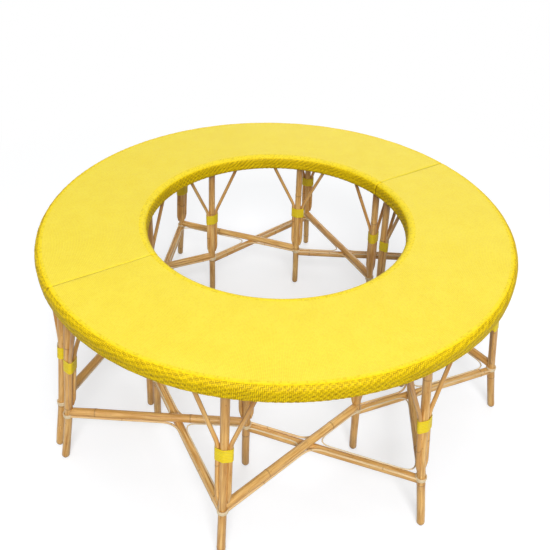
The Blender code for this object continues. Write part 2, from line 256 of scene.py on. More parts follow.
@dataclass(frozen=True)
class LegLine:
    """Where the axis of one leg runs.

    Attributes:
        station: The leg's station.
        row: The ring of legs that it belongs to.
    """

    station: Station
    row: Row

    @property
    def name(self) -> str:
        """The first words of the names of the leg's pieces."""
        return f"{self.station.half.word}_{self.row.value}"

    @property
    def reach(self) -> tuple[float, float, float]:
        """The leg's distance from the middle under the seat, at the joint and at the foot."""
        if self.row is Row.OUTER:
            return PLAN.outer_top, PLAN.outer_joint, PLAN.outer_foot
        return PLAN.inner_top, PLAN.inner_joint, PLAN.inner_foot

    def distance(self, height: float) -> float:
        """How far the axis is from the middle of the bench at a height."""
        top, joint, foot = self.reach
        if height >= PLAN.joint_height:
            return joint + (top - joint) * (height - PLAN.joint_height) / (PLAN.underside - PLAN.joint_height)
        return foot + (joint - foot) * height / PLAN.joint_height

    def at(self, height: float) -> Array:
        """The axis's place at a height."""
        return self.station.point(self.distance(height), height=height)

    @property
    def upright(self) -> Array:
        """Unit vector up the leg's straight stretch above the joint."""
        return unit(self.at(PLAN.underside) - self.at(PLAN.joint_height))


def unit(vectors: Array) -> Array:
    """Vectors scaled to a length of 1."""
    return vectors / np.linalg.norm(vectors, axis=-1, keepdims=True)


def lengths_along(route: Array) -> Array:
    """The length of a route up to each of its points."""
    return np.concatenate(((0.0,), np.cumsum(np.linalg.norm(np.diff(route, axis=0), axis=1))))


def place_on(route: Array, lengths: Array) -> Array:
    """Places on a route.

    Args:
        route: The route's points.
        lengths: How far along it each place lies.

    Returns:
        One place for each length.
    """
    known = lengths_along(route)
    return np.stack([np.interp(lengths, known, route[:, axis]) for axis in range(3)], axis=1)


def rounded_route(points: Sequence[Array], corner: float, closed: bool = False) -> Array:
    """A route of straight runs with each corner rounded off.

    Args:
        points: The corners.
        corner: How far from a corner its curve begins.
        closed: True to round the first corner too and come back to it.

    Returns:
        The route's points.
    """
    inner = range(len(points)) if closed else range(1, len(points) - 1)
    route = [] if closed else [points[0]]
    for index in inner:
        here, before, after = points[index], points[index - 1], points[(index + 1) % len(points)]
        start = here + unit(before - here) * min(corner, np.linalg.norm(before - here) * CORNER_SHARE)
        end = here + unit(after - here) * min(corner, np.linalg.norm(after - here) * CORNER_SHARE)
        for share in np.linspace(0.0, 1.0, CORNER_POINTS):
            route.append(start * (1 - share) ** 2 + here * 2 * share * (1 - share) + end * share ** 2)
    route.append(route[0] if closed else points[-1])
    return np.array(route)


@dataclass
class Shape:
    """A mesh in the making.

    Attributes:
        points: The mesh's points, one row each.
        faces: Corner numbers of each face.
        values: Named values of each point, three numbers each, for the materials.
    """

    points: Array
    faces: list[Sequence[int]]
    values: dict[str, Array]

    SHARP_ANGLE = math.radians(55.0)

    def piece(self, name: str, material: bpy.types.Material, slot: Slot, node: str) -> None:
        """Make the shape a piece of the bench.

        Args:
            name: The piece's name.
            material: Its finish.
            slot: The slot for that finish; not used.
            node: The node of the frame that it stands for.
        """
        mesh = bpy.data.meshes.new(name)
        mesh.from_pydata(self.points.tolist(), [], self.faces)
        for key, value in self.values.items():
            layer = mesh.attributes.new(key, "FLOAT_VECTOR", "POINT")
            layer.data.foreach_set("vector", value.astype(np.float32).ravel())
        mesh.materials.append(material)
        mesh.shade_smooth()
        mesh.set_sharp_from_angle(angle=self.SHARP_ANGLE)
        made = bpy.data.objects.new(name, mesh)
        bpy.context.scene.collection.objects.link(made)
        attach(made, BODY)
        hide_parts(node)


def ring_faces(rings: int, sides: int) -> list[Sequence[int]]:
    """Faces of a tube with closed ends.

    Args:
        rings: How many rings of points the tube has.
        sides: How many points a ring has.

    Returns:
        The faces, pointing out.
    """
    ring = np.arange(rings - 1)[:, None] * sides
    side = np.arange(sides)[None, :]
    following = (side + 1) % sides
    quads = np.stack((ring + side, ring + following, ring + sides + following, ring + sides + side), axis=-1)
    last = (rings - 1) * sides
    caps = [list(range(sides - 1, -1, -1)), list(range(last, last + sides))]
    return quads.reshape(-1, 4).tolist() + caps


def cross_axes(route: Array, reference: Array) -> tuple[Array, Array]:
    """Two directions square to a route at each point, the second leaning to a reference direction."""
    tangent = unit(np.gradient(route, axis=0))
    sideways = unit(np.cross(np.broadcast_to(reference, tangent.shape), tangent))
    return sideways, np.cross(tangent, sideways)


@dataclass
class Cane:
    """A round pole or cane, from its route to its mesh.

    Attributes:
        route: The axis.
        radius: Half its thickness.
        seed: Seeds its knots and its colour.
        reference: A direction that the route never runs along.
        sides: Points round it.
        step: Length of its rings.
        rounding: How far its ends are rounded off.
        knot_gap: Least and most length between two knots, or None for a cane without them.
        bow: How far it wanders from a straight line.
        tip: Length over which its start is pared down to a tip, or 0.
    """

    route: Array
    radius: float
    seed: int
    reference: Array = field(default_factory=lambda: UP)
    sides: int = 20
    step: float = 0.006
    rounding: float = 0.0012
    knot_gap: Optional[tuple[float, float]] = (0.17, 0.33)
    bow: float = 0.0005
    tip: float = 0.0

    # Thickness of the point of a pared tip, and the most rounding of an end, as shares of the radius.
    TIP_SHARE = 0.45
    MOST_ROUNDING = 0.9
    # The knots: how near to the two ends they come, how far they rise as a share of the radius, the
    # lengths over which the rise and the dark line fade, and the rings of points added beside each.
    KNOT_FROM_END = (0.020, 0.012)
    KNOT_RISE = 0.05
    KNOT_WIDTH = 0.0042
    KNOT_LINE = 0.0013
    KNOT_RINGS = (-0.004, -0.002, -0.0008, 0.0, 0.0008, 0.002, 0.004)
    # The least and most of the waves by which a cane wanders, in radians a metre, and of their starts, the
    # length at each end over which it wanders less, and how much and how fast its thickness varies.
    BOW_RATES = (9, 16)
    BOW_PHASES = (0, 6)
    BOW_EASE = 0.03
    UNEVEN_SHARE = 0.012
    UNEVEN_RATE = 31
    # Length over which a cut end is darker.
    END_TINT = 0.01

    def rings(self, whole: float) -> tuple[Array, Array]:
        """Where the rings lie along the cane, and how wide each is.

        Args:
            whole: The cane's length.

        Returns:
            Lengths along the cane, and shares of its radius.
        """
        edge = min(self.rounding, self.radius * self.MOST_ROUNDING)
        turns = np.radians((90.0, 60.0, 30.0, 0.0))
        end_lengths = edge * (1 - np.sin(turns))
        end_shares = 1 - (edge / self.radius) * (1 - np.cos(turns))
        count = max(2, int((whole - 2 * edge) / self.step))
        middle = np.linspace(edge, whole - edge, count + 1)[1:-1]
        lengths = np.concatenate((end_lengths, middle, whole - end_lengths[::-1]))
        shares = np.concatenate((end_shares, np.ones(len(middle)), end_shares[::-1]))
        if self.tip:
            shares = shares * np.interp(lengths, (0.0, self.tip), (self.TIP_SHARE, 1.0))
        return lengths, shares

    def knot_places(self, whole: float, draws: np.random.Generator) -> list[float]:
        """Where the knots lie.

        Args:
            whole: The cane's length.
            draws: The cane's own random numbers.

        Returns:
            The length along the cane up to each knot.
        """
        if self.knot_gap is None:
            return []
        first, last = self.KNOT_FROM_END
        places, place = [], draws.uniform(first, self.knot_gap[0])
        while place < whole - last:
            places.append(place)
            place += draws.uniform(*self.knot_gap)
        return places

    def with_knot_rings(self, lengths: Array, shares: Array, places: Sequence[float]) -> tuple[Array, Array]:
        """The rings, with a few more close to each knot."""
        if not places:
            return lengths, shares
        extra = np.add.outer(places, self.KNOT_RINGS).ravel()
        shares = np.concatenate((shares, np.interp(extra, lengths, shares)))
        lengths = np.concatenate((lengths, extra))
        order = np.argsort(lengths, kind="stable")
        return lengths[order], shares[order]

    def knots(self, lengths: Array, places: Sequence[float]) -> tuple[Array, Array]:
        """The swelling and the dark line at each knot.

        Args:
            lengths: Where the cane's rings lie.
            places: Where its knots lie.

        Returns:
            A share of the radius to add at each ring, and how dark the knot's line is there.
        """
        swelling, line = np.zeros_like(lengths), np.zeros_like(lengths)
        for place in places:
            away = lengths - place
            swelling += self.KNOT_RISE * np.exp(-(away / self.KNOT_WIDTH) ** 2)
            line += np.exp(-(away / self.KNOT_LINE) ** 2)
        return swelling, np.clip(line, 0.0, 1.0)

    def shape(self) -> Shape:
        """Sweep the cane's section along its route.

        Returns:
            The cane's mesh, with its straightened coordinates and its tint.
        """
        whole = lengths_along(self.route)[-1]
        draws = np.random.default_rng(self.seed)
        places = self.knot_places(whole, draws)
        lengths, shares = self.with_knot_rings(*self.rings(whole), places)
        swelling, line = self.knots(lengths, places)
        from_end = np.minimum(lengths, whole - lengths)
        rates, phases = draws.uniform(*self.BOW_RATES, 2), draws.uniform(*self.BOW_PHASES, 2)
        wander = np.sin(lengths[:, None] * rates + phases) * self.bow
        wander *= np.minimum(1.0, from_end / self.BOW_EASE)[:, None]
        centres = place_on(self.route, lengths)
        sideways, upward = cross_axes(centres, self.reference)
        centres = centres + sideways * wander[:, :1] + upward * wander[:, 1:]
        uneven = self.UNEVEN_SHARE * np.sin(lengths * self.UNEVEN_RATE + self.seed)
        radii = self.radius * shares * (1 + swelling + uneven)
        turns = np.linspace(0, 2 * math.pi, self.sides, endpoint=False)
        across, rise = np.cos(turns), np.sin(turns)
        points = (centres[:, None] + radii[:, None, None] * (
            sideways[:, None] * across[None, :, None] + upward[:, None] * rise[None, :, None]))
        straight = np.empty_like(points)
        straight[..., 0] = radii[:, None] * across
        straight[..., 1] = radii[:, None] * rise
        straight[..., 2] = lengths[:, None] + self.seed * SEED_STRIDE
        tint = np.zeros_like(points)
        tint[..., 0] = line[:, None]
        tint[..., 1] = draws.uniform(0, 1)
        tint[..., 2] = 1 - np.clip(from_end / self.END_TINT, 0, 1)[:, None]
        values = {STRAIGHT: straight.reshape(-1, 3), TINT: tint.reshape(-1, 3)}
        return Shape(points.reshape(-1, 3), ring_faces(len(lengths), self.sides), values)


class Nodes:
    """Lays down shader nodes and joins them."""

    def __init__(self, tree: bpy.types.NodeTree) -> None:
        """Start with a tree.

        Args:
            tree: The node tree of a material or a group.
        """
        self.tree = tree

    def add(self, kind: str, inputs: dict[int | str, object], **settings: object) -> bpy.types.Node:
        """Add one node.

        Args:
            kind: The node's type.
            inputs: Values or sockets for its inputs, by name or number.
            **settings: Its own settings.

        Returns:
            The node.
        """
        made = self.tree.nodes.new(kind)
        for key, value in settings.items():
            setattr(made, key, value)
        for key, value in inputs.items():
            if isinstance(value, bpy.types.NodeSocket):
                self.tree.links.new(value, made.inputs[key])
            else:
                made.inputs[key].default_value = value
        return made

    def sum(self, operation: str, *values: object) -> bpy.types.NodeSocket:
        """The result of one sum on numbers."""
        return self.add("ShaderNodeMath", dict(enumerate(values)), operation=operation).outputs[0]

    def scaled(self, vector: bpy.types.NodeSocket, scale: Sequence[float]) -> bpy.types.NodeSocket:
        """A vector scaled along each axis."""
        made = self.add("ShaderNodeVectorMath", {0: vector, 1: tuple(scale)}, operation="MULTIPLY")
        return made.outputs[0]

    def noise(self, vector: bpy.types.NodeSocket, scale: float, detail: float = 2.0) -> bpy.types.NodeSocket:
        """Soft noise from 0 to 1."""
        made = self.add("ShaderNodeTexNoise", {"Vector": vector, "Scale": scale, "Detail": detail})
        return made.outputs["Fac"]

    def span(self, value: bpy.types.NodeSocket, low: float, high: float, to_low: float = 0.0,
             to_high: float = 1.0) -> bpy.types.NodeSocket:
        """A value stretched from one range to another, and held there."""
        inputs = {"Value": value, "From Min": low, "From Max": high, "To Min": to_low, "To Max": to_high}
        return self.add("ShaderNodeMapRange", inputs, clamp=True).outputs["Result"]

    def lay(self, colour: object, mask: bpy.types.NodeSocket, share: float,
            over: object) -> bpy.types.NodeSocket:
        """A colour with another laid over it, by a share of a mask."""
        return self.mix(self.sum("MULTIPLY", mask, share), colour, over)

    def mix(self, share: object, one: object, two: object) -> bpy.types.NodeSocket:
        """Two colours mixed by a share."""
        made = self.add("ShaderNodeMix", {}, data_type="RGBA")
        for index, value in ((0, share), (6, one), (7, two)):
            if isinstance(value, bpy.types.NodeSocket):
                self.tree.links.new(value, made.inputs[index])
            else:
                made.inputs[index].default_value = value if index == 0 else (*value, 1.0)
        return made.outputs[2]

    def read(self, name: str) -> bpy.types.NodeSocket:
        """A named value of the mesh as a vector."""
        return self.add("ShaderNodeAttribute", {}, attribute_name=name).outputs["Vector"]

    def parts(self, vector: bpy.types.NodeSocket) -> bpy.types.bpy_prop_collection:
        """The three numbers of a vector."""
        return self.add("ShaderNodeSeparateXYZ", {0: vector}).outputs

    def group(self, tree: bpy.types.NodeTree, inputs: dict[int | str, object]) -> bpy.types.Node:
        """Place a node group.

        Args:
            tree: The group.
            inputs: Values or sockets for its inputs.

        Returns:
            The group's node.
        """
        return self.add("ShaderNodeGroup", inputs, node_tree=tree)


def new_group(name: str, inputs: dict[str, tuple[str, object]], outputs: Sequence[str]) -> tuple[
        bpy.types.NodeTree, Nodes, bpy.types.Node, bpy.types.Node]:
    """Start a shader node group.

    Args:
        name: The group's name.
        inputs: Each input's name, with its socket type and its first value.
        outputs: The names of its outputs, which are all numbers.

    Returns:
        The group, a helper for its nodes, its input node and its output node.
    """
    tree = bpy.data.node_groups.new(name, "ShaderNodeTree")
    for label, (kind, value) in inputs.items():
        made = tree.interface.new_socket(label, in_out="INPUT", socket_type=kind)
        if value is not None:
            made.default_value = value
    for label in outputs:
        tree.interface.new_socket(label, in_out="OUTPUT", socket_type="NodeSocketFloat")
    return tree, Nodes(tree), tree.nodes.new("NodeGroupInput"), tree.nodes.new("NodeGroupOutput")


# How the canes' noise is read: the shares of the fine and the broad streaks, the ranges of noise that turn
# into streaks, specks and clouds, and the depth of a speck beside a streak's height.
FINE_SHARE, BROAD_SHARE = 0.38, 0.62
STREAK_RANGE = (0.395, 0.615)
SPECK_RANGE = (0.69, 0.78)
CLOUD_RANGE = (0.3, 0.7)
SPECK_DEPTH = 0.6

# The fine weave: the stretch over which a strand passes from under to over, how flat its crown is, its
# height where it lies under, and the heights between which it turns from the painted shade between strands to
# the crown's colour.
PASSING = (-0.25, 0.25)
CROWN_POWER = 0.6
LOW_STRAND = 0.45
CROWN_RANGE = (0.35, 0.9)


def cane_grain_group() -> bpy.types.NodeTree:
    """Long streaks, short specks and cloudy patches of a natural cane, in its straightened coordinates."""
    inputs = {"Place": ("NodeSocketVector", None), "Specks": ("NodeSocketFloat", 1.0)}
    tree, nodes, given, made = new_group("cane_grain", inputs, ("Streak", "Speck", "Cloud", "Height"))

    def drawn_out(stretch: float, scale: float, detail: float) -> bpy.types.NodeSocket:
        """Noise drawn out along the cane."""
        place = nodes.scaled(given.outputs["Place"], (1.0, 1.0, stretch))
        return nodes.noise(place, scale, detail)

    fine = drawn_out(stretch=0.035, scale=900.0, detail=3.0)
    broad = drawn_out(stretch=0.06, scale=230.0, detail=2.0)
    dots = drawn_out(stretch=0.32, scale=420.0, detail=1.0)
    patches = drawn_out(stretch=0.5, scale=42.0, detail=2.0)
    streak = nodes.sum("ADD", nodes.sum("MULTIPLY", fine, FINE_SHARE),
                       nodes.sum("MULTIPLY", broad, BROAD_SHARE))
    streak = nodes.span(streak, *STREAK_RANGE)
    speck = nodes.span(dots, *SPECK_RANGE)
    links = tree.links
    links.new(streak, made.inputs["Streak"])
    links.new(nodes.sum("MULTIPLY", speck, given.outputs["Specks"]), made.inputs["Speck"])
    links.new(nodes.span(patches, *CLOUD_RANGE), made.inputs["Cloud"])
    links.new(nodes.sum("SUBTRACT", streak, nodes.sum("MULTIPLY", speck, SPECK_DEPTH)), made.inputs["Height"])
    return tree


def strand_weave_group() -> bpy.types.NodeTree:
    """A plain weave of flat strands, in strand coordinates: its height and the painted shade between strands.
    """
    tree, nodes, given, made = new_group("strand_weave", {"Strands": ("NodeSocketVector", None)},
                                         ("Height", "Crown"))
    parts = nodes.parts(given.outputs["Strands"])
    waves = [nodes.sum("SINE", nodes.sum("MULTIPLY", parts[axis], math.pi)) for axis in (0, 1)]
    over = nodes.span(nodes.sum("MULTIPLY", waves[0], waves[1]), *PASSING)
    under = nodes.sum("SUBTRACT", 1.0, over)
    heights = []
    for wave, share in zip(waves, (over, under)):
        crown = nodes.sum("POWER", nodes.sum("ABSOLUTE", wave), CROWN_POWER)
        heights.append(nodes.sum("MULTIPLY", crown, nodes.span(share, 0.0, 1.0, LOW_STRAND, 1.0)))
    height = nodes.sum("MAXIMUM", heights[0], heights[1])
    tree.links.new(height, made.inputs["Height"])
    tree.links.new(nodes.span(height, *CROWN_RANGE), made.inputs["Crown"])
    return tree


def times(colour: Colour, shares: float | Colour) -> Colour:
    """A colour with its channels multiplied by one share or by one each, and none above 1."""
    each = shares if isinstance(shares, tuple) else (shares,) * 3
    return tuple(min(1.0, channel * share) for channel, share in zip(colour, each))


@dataclass(frozen=True)
class CaneFinish:
    """The finish of a round natural pole or cane.

    Attributes:
        name: The material's name.
        light: Colour of its pale streaks.
        dark: Colour of its dark streaks.
        knot: Colour of the line round a knot and of cut ends, and of the painted shade under the seat and in
            a winding's cracks.
        fleck: Colour of its specks.
        roughness: Its middle roughness.
        specks: How strong the specks are.
        bump: Height of its grain in metres.
        lacquer: Weight of the clear coat.
        stain: How much painted shade darkens it close under the seat, where the seat shades it.
    """

    name: str
    light: Colour
    dark: Colour
    knot: Colour
    fleck: Colour
    roughness: float
    specks: float
    bump: float
    lacquer: float
    stain: float = 0.0

    # The shades over the streaks: two as shares of the streaks' own colours, and how strongly each covers.
    WARM = (0.86, 0.74, 0.55)
    DEEP = (0.92, 0.80, 0.62)
    CLOUD_SHARE = 0.60
    DEEP_SHARE = 0.38
    FLECK_SHARE = 0.75
    KNOT_SHARE = 0.55
    END_SHARE = 0.30
    # The heights above the floor between which the painted shade under the seat grows.
    STAIN_HEIGHTS = (0.33, 0.45)
    # How much rougher the dark streaks are, how much smoother the pale ones, and the clear coat's roughness.
    ROUGH_IN_DARK = 0.06
    SMOOTH_IN_LIGHT = 0.05
    LACQUER_ROUGHNESS = 0.28

    def material(self, grain: bpy.types.NodeTree) -> bpy.types.Material:
        """Make the finish.

        Args:
            grain: The cane_grain group.

        Returns:
            The material.
        """
        material, nodes, shader = plain_material(self.name)
        made = nodes.group(grain, {"Place": nodes.read(STRAIGHT), "Specks": self.specks}).outputs
        knot_line_and_crack_shade, own_tint, cut_end = nodes.parts(nodes.read(TINT))
        colour = nodes.mix(made["Streak"], self.dark, self.light)
        colour = nodes.lay(colour, made["Cloud"], self.CLOUD_SHARE, times(self.light, self.WARM))
        colour = nodes.lay(colour, own_tint, self.DEEP_SHARE, times(self.dark, self.DEEP))
        colour = nodes.lay(colour, made["Speck"], self.FLECK_SHARE, self.fleck)
        # Knot lines on a cane; on a winding, painted shade in the cracks between its turns.
        colour = nodes.lay(colour, knot_line_and_crack_shade, self.KNOT_SHARE, self.knot)
        colour = nodes.lay(colour, cut_end, self.END_SHARE, self.knot)
        # Painted shade under the seat: the pole darkens towards the seat's underside, which shades it.
        if self.stain:
            height = nodes.parts(nodes.add("ShaderNodeTexCoord", {}).outputs["Object"])[2]
            colour = nodes.mix(nodes.span(height, *self.STAIN_HEIGHTS, 0.0, self.stain), colour, self.knot)
        rough = nodes.span(made["Streak"], 0.0, 1.0, self.roughness + self.ROUGH_IN_DARK,
                           self.roughness - self.SMOOTH_IN_LIGHT)
        link_shader(nodes, shader, colour, rough, made["Height"], self.bump)
        shader.inputs["Coat Weight"].default_value = self.lacquer
        shader.inputs["Coat Roughness"].default_value = self.LACQUER_ROUGHNESS
        return material


@dataclass(frozen=True)
class WovenFinish:
    """The finish of the woven cover.

    Attributes:
        name: The material's name.
        weave: How its strands cross.
        crown: Colour of the strands' tops.
        valley: Colour between the strands, painted shade in the hollows; single strands and the seam are also
            darkened with it.
        smooth: Colour where the weave turns smooth.
        roughness: Its middle roughness.
        bump: Height of its weave, or of its fibres where the mesh has the weave, in metres.
        gloss: Strength of its reflection.
        sheen: Weight of its sheen.
    """

    name: str
    weave: Weave
    crown: Colour
    valley: Colour
    smooth: Colour
    roughness: float
    bump: float
    gloss: float
    sheen: float

    # Ranges of the third strand number: from the painted shade between strands to the crown, from woven to
    # smooth, and out of the painted shade at the seam.
    CROWN_HEIGHTS = (0.15, 0.80)
    SMOOTH_HEIGHTS = (1.0, 1.9)
    SEAM_HEIGHTS = {Weave.TWILL: (0.05, 0.6), Weave.FINE: (0.2, 1.7)}
    # The painted shade in the seam, as a share of the colour between the strands.
    SEAM_SHADE = 0.35
    # Paler patches: how fine they are, how strongly they cover, where the noise turns into them, and their
    # colour as a share of the crown's.
    PATCH_SCALE = 26.0
    PATCH_SHARE = 0.35
    PATCH_RANGE = (0.35, 0.65)
    PALE = (1.02, 1.04, 1.4)
    # Single strands that are darker: the range of their random number, and how much darker they are.
    STRAND_RANGE = (0.55, 1.0)
    STRAND_SHARE = 0.30
    ROUGH_RANGE = 0.06

    def material(self, grain: bpy.types.NodeTree, weave: bpy.types.NodeTree) -> bpy.types.Material:
        """Make the finish.

        Args:
            grain: The cane_grain group, for the strands' fibres.
            weave: The strand_weave group.

        Returns:
            The material.
        """
        material, nodes, shader = plain_material(self.name)
        strands = nodes.read(STRANDS)
        place = nodes.add("ShaderNodeTexCoord", {}).outputs["Object"]
        fibres = nodes.group(grain, {"Place": place}).outputs["Streak"]
        raised = nodes.parts(strands)[2]
        if self.weave is Weave.FINE:
            woven = nodes.group(weave, {"Strands": strands})
            crown, height = woven.outputs["Crown"], woven.outputs["Height"]
        else:
            crown, height = nodes.span(raised, *self.CROWN_HEIGHTS), fibres
        # Painted shade: the colour darkens from the strands' crowns into the hollows between them.
        colour = nodes.mix(crown, self.valley, self.crown)
        if self.weave is Weave.TWILL:
            colour = nodes.mix(nodes.span(raised, *self.SMOOTH_HEIGHTS), colour, self.smooth)
        patches = nodes.span(nodes.noise(place, self.PATCH_SCALE, 3.0), *self.PATCH_RANGE)
        colour = nodes.lay(colour, patches, self.PATCH_SHARE, times(self.crown, self.PALE))
        cell = nodes.add("ShaderNodeVectorMath", {0: strands}, operation="FLOOR").outputs[0]
        own_shade = nodes.add("ShaderNodeTexWhiteNoise", {"Vector": cell}, noise_dimensions="2D")
        darker = nodes.span(own_shade.outputs["Value"], *self.STRAND_RANGE, 0.0, self.STRAND_SHARE)
        colour = nodes.mix(darker, colour, self.valley)
        # Painted shade at the seam, where the cover rounds into the gap between the halves.
        clear_of_seam_shade = nodes.span(raised, *self.SEAM_HEIGHTS[self.weave])
        colour = nodes.mix(clear_of_seam_shade, times(self.valley, self.SEAM_SHADE), colour)
        rough = nodes.span(fibres, 0.0, 1.0, self.roughness - self.ROUGH_RANGE,
                           self.roughness + self.ROUGH_RANGE)
        link_shader(nodes, shader, colour, rough, height, self.bump)
        shader.inputs["Specular IOR Level"].default_value = self.gloss
        shader.inputs["Sheen Weight"].default_value = self.sheen
        return material


@dataclass(frozen=True)
class PlainFinish:
    """The finish of a small moulded or wound piece.

    Attributes:
        name: The material's name.
        colour: Its colour.
        worn: Its colour where it is paler.
        roughness: Its middle roughness.
        bump: Height of its surface in metres.
    """

    name: str
    colour: Colour
    worn: Colour
    roughness: float
    bump: float

    # How strong the specks are, and the shades over the colour: how dark each is, and how it covers; the
    # crack's is painted shade between the turns.
    SPECKS = 0.5
    WORN_SHARE = 0.55
    SOILED = 0.72
    SOILED_SHARE = 0.25
    CRACK = 0.30
    CRACK_SHARE = 0.85
    # How much rougher the darker places are, and how much smoother the paler ones.
    ROUGH_IN_DARK = 0.07
    SMOOTH_IN_LIGHT = 0.05

    def material(self, grain: bpy.types.NodeTree) -> bpy.types.Material:
        """Make the finish.

        Args:
            grain: The cane_grain group.

        Returns:
            The material.
        """
        material, nodes, shader = plain_material(self.name)
        made = nodes.group(grain, {"Place": nodes.read(STRAIGHT), "Specks": self.SPECKS}).outputs
        crack_shade = nodes.parts(nodes.read(TINT))[0]
        colour = nodes.lay(self.colour, made["Streak"], self.WORN_SHARE, self.worn)
        colour = nodes.lay(colour, made["Cloud"], self.SOILED_SHARE, times(self.colour, self.SOILED))
        # Painted shade in the cracks between the turns.
        colour = nodes.lay(colour, crack_shade, self.CRACK_SHARE, times(self.colour, self.CRACK))
        rough = nodes.span(made["Streak"], 0.0, 1.0, self.roughness + self.ROUGH_IN_DARK,
                           self.roughness - self.SMOOTH_IN_LIGHT)
        link_shader(nodes, shader, colour, rough, made["Height"], self.bump)
        return material


def plain_material(name: str) -> tuple[bpy.types.Material, Nodes, bpy.types.Node]:
    """Start a material.

    Args:
        name: Its name.

    Returns:
        The material, a helper for its nodes, and its shader.
    """
    material = bpy.data.materials.new(name)
    material.use_nodes = True
    return material, Nodes(material.node_tree), material.node_tree.nodes["Principled BSDF"]


def link_shader(nodes: Nodes, shader: bpy.types.Node, colour: bpy.types.NodeSocket,
                rough: bpy.types.NodeSocket, height: bpy.types.NodeSocket, bump: float) -> None:
    """Join a finish to its shader.

    Args:
        nodes: The helper for its nodes.
        shader: Its shader.
        colour: Its colour.
        rough: Its roughness.
        height: The height of its surface, from 0 to 1.
        bump: The same height in metres.
    """
    made = nodes.add("ShaderNodeBump", {"Height": height, "Distance": bump})
    for label, value in (("Base Color", colour), ("Roughness", rough), ("Normal", made.outputs[0])):
        nodes.tree.links.new(value, shader.inputs[label])


class Finishes:
    """Every material of the bench, with the two node groups that they share."""

    def __init__(self) -> None:
        """Make the groups and the materials."""
        grain, weave = cane_grain_group(), strand_weave_group()
        # The top's colours are paler and bluer than the skirts': in part a painted reflection of the light on
        # its upward face, which the smooth colour carries onto the skirts' upper edge.
        smooth = (0.88, 0.70, 0.032)
        self.top = WovenFinish(
            "woven_top", Weave.FINE, crown=(0.89, 0.73, 0.032), valley=(0.76, 0.54, 0.008), smooth=smooth,
            roughness=0.60, bump=0.0004, gloss=0.45, sheen=0.08).material(grain, weave)
        self.skirt = WovenFinish(
            "woven_skirt", Weave.TWILL, crown=(0.90, 0.65, 0.003), valley=(0.38, 0.20, 0.001), smooth=smooth,
            roughness=0.55, bump=0.00015, gloss=0.15, sheen=0.0).material(grain, weave)
        self.rattan = CaneFinish(
            "rattan_pole", light=(1.0, 0.66, 0.24), dark=(0.48, 0.21, 0.035), knot=(0.20, 0.07, 0.015),
            fleck=(0.28, 0.10, 0.02), roughness=0.40, specks=0.9, bump=0.0003, lacquer=0.2,
            stain=0.5).material(grain)
        self.lining = CaneFinish(
            "lining_cane", light=(0.92, 0.72, 0.42), dark=(0.76, 0.50, 0.22), knot=(0.30, 0.14, 0.05),
            fleck=(0.30, 0.14, 0.04), roughness=0.45, specks=0.6, bump=0.0002, lacquer=0.15).material(grain)
        # The cream cane's knot colour falls on the loops' cut ends, and on the lashings it is painted shade
        # in the cracks.
        self.lashing = CaneFinish(
            "cream_cane", light=(0.94, 0.84, 0.62), dark=(0.80, 0.66, 0.42), knot=(0.40, 0.24, 0.10),
            fleck=(0.45, 0.28, 0.11), roughness=0.48, specks=0.4, bump=0.0002, lacquer=0.1).material(grain)
        self.binding = PlainFinish("binding_strip", colour=(0.98, 0.71, 0.003), worn=(1.0, 0.84, 0.01),
                                   roughness=0.45, bump=0.0001).material(grain)
        self.glide = PlainFinish("glide_rubber", colour=(0.16, 0.15, 0.14), worn=(0.30, 0.28, 0.26),
                                 roughness=0.60, bump=0.0001).material(grain)


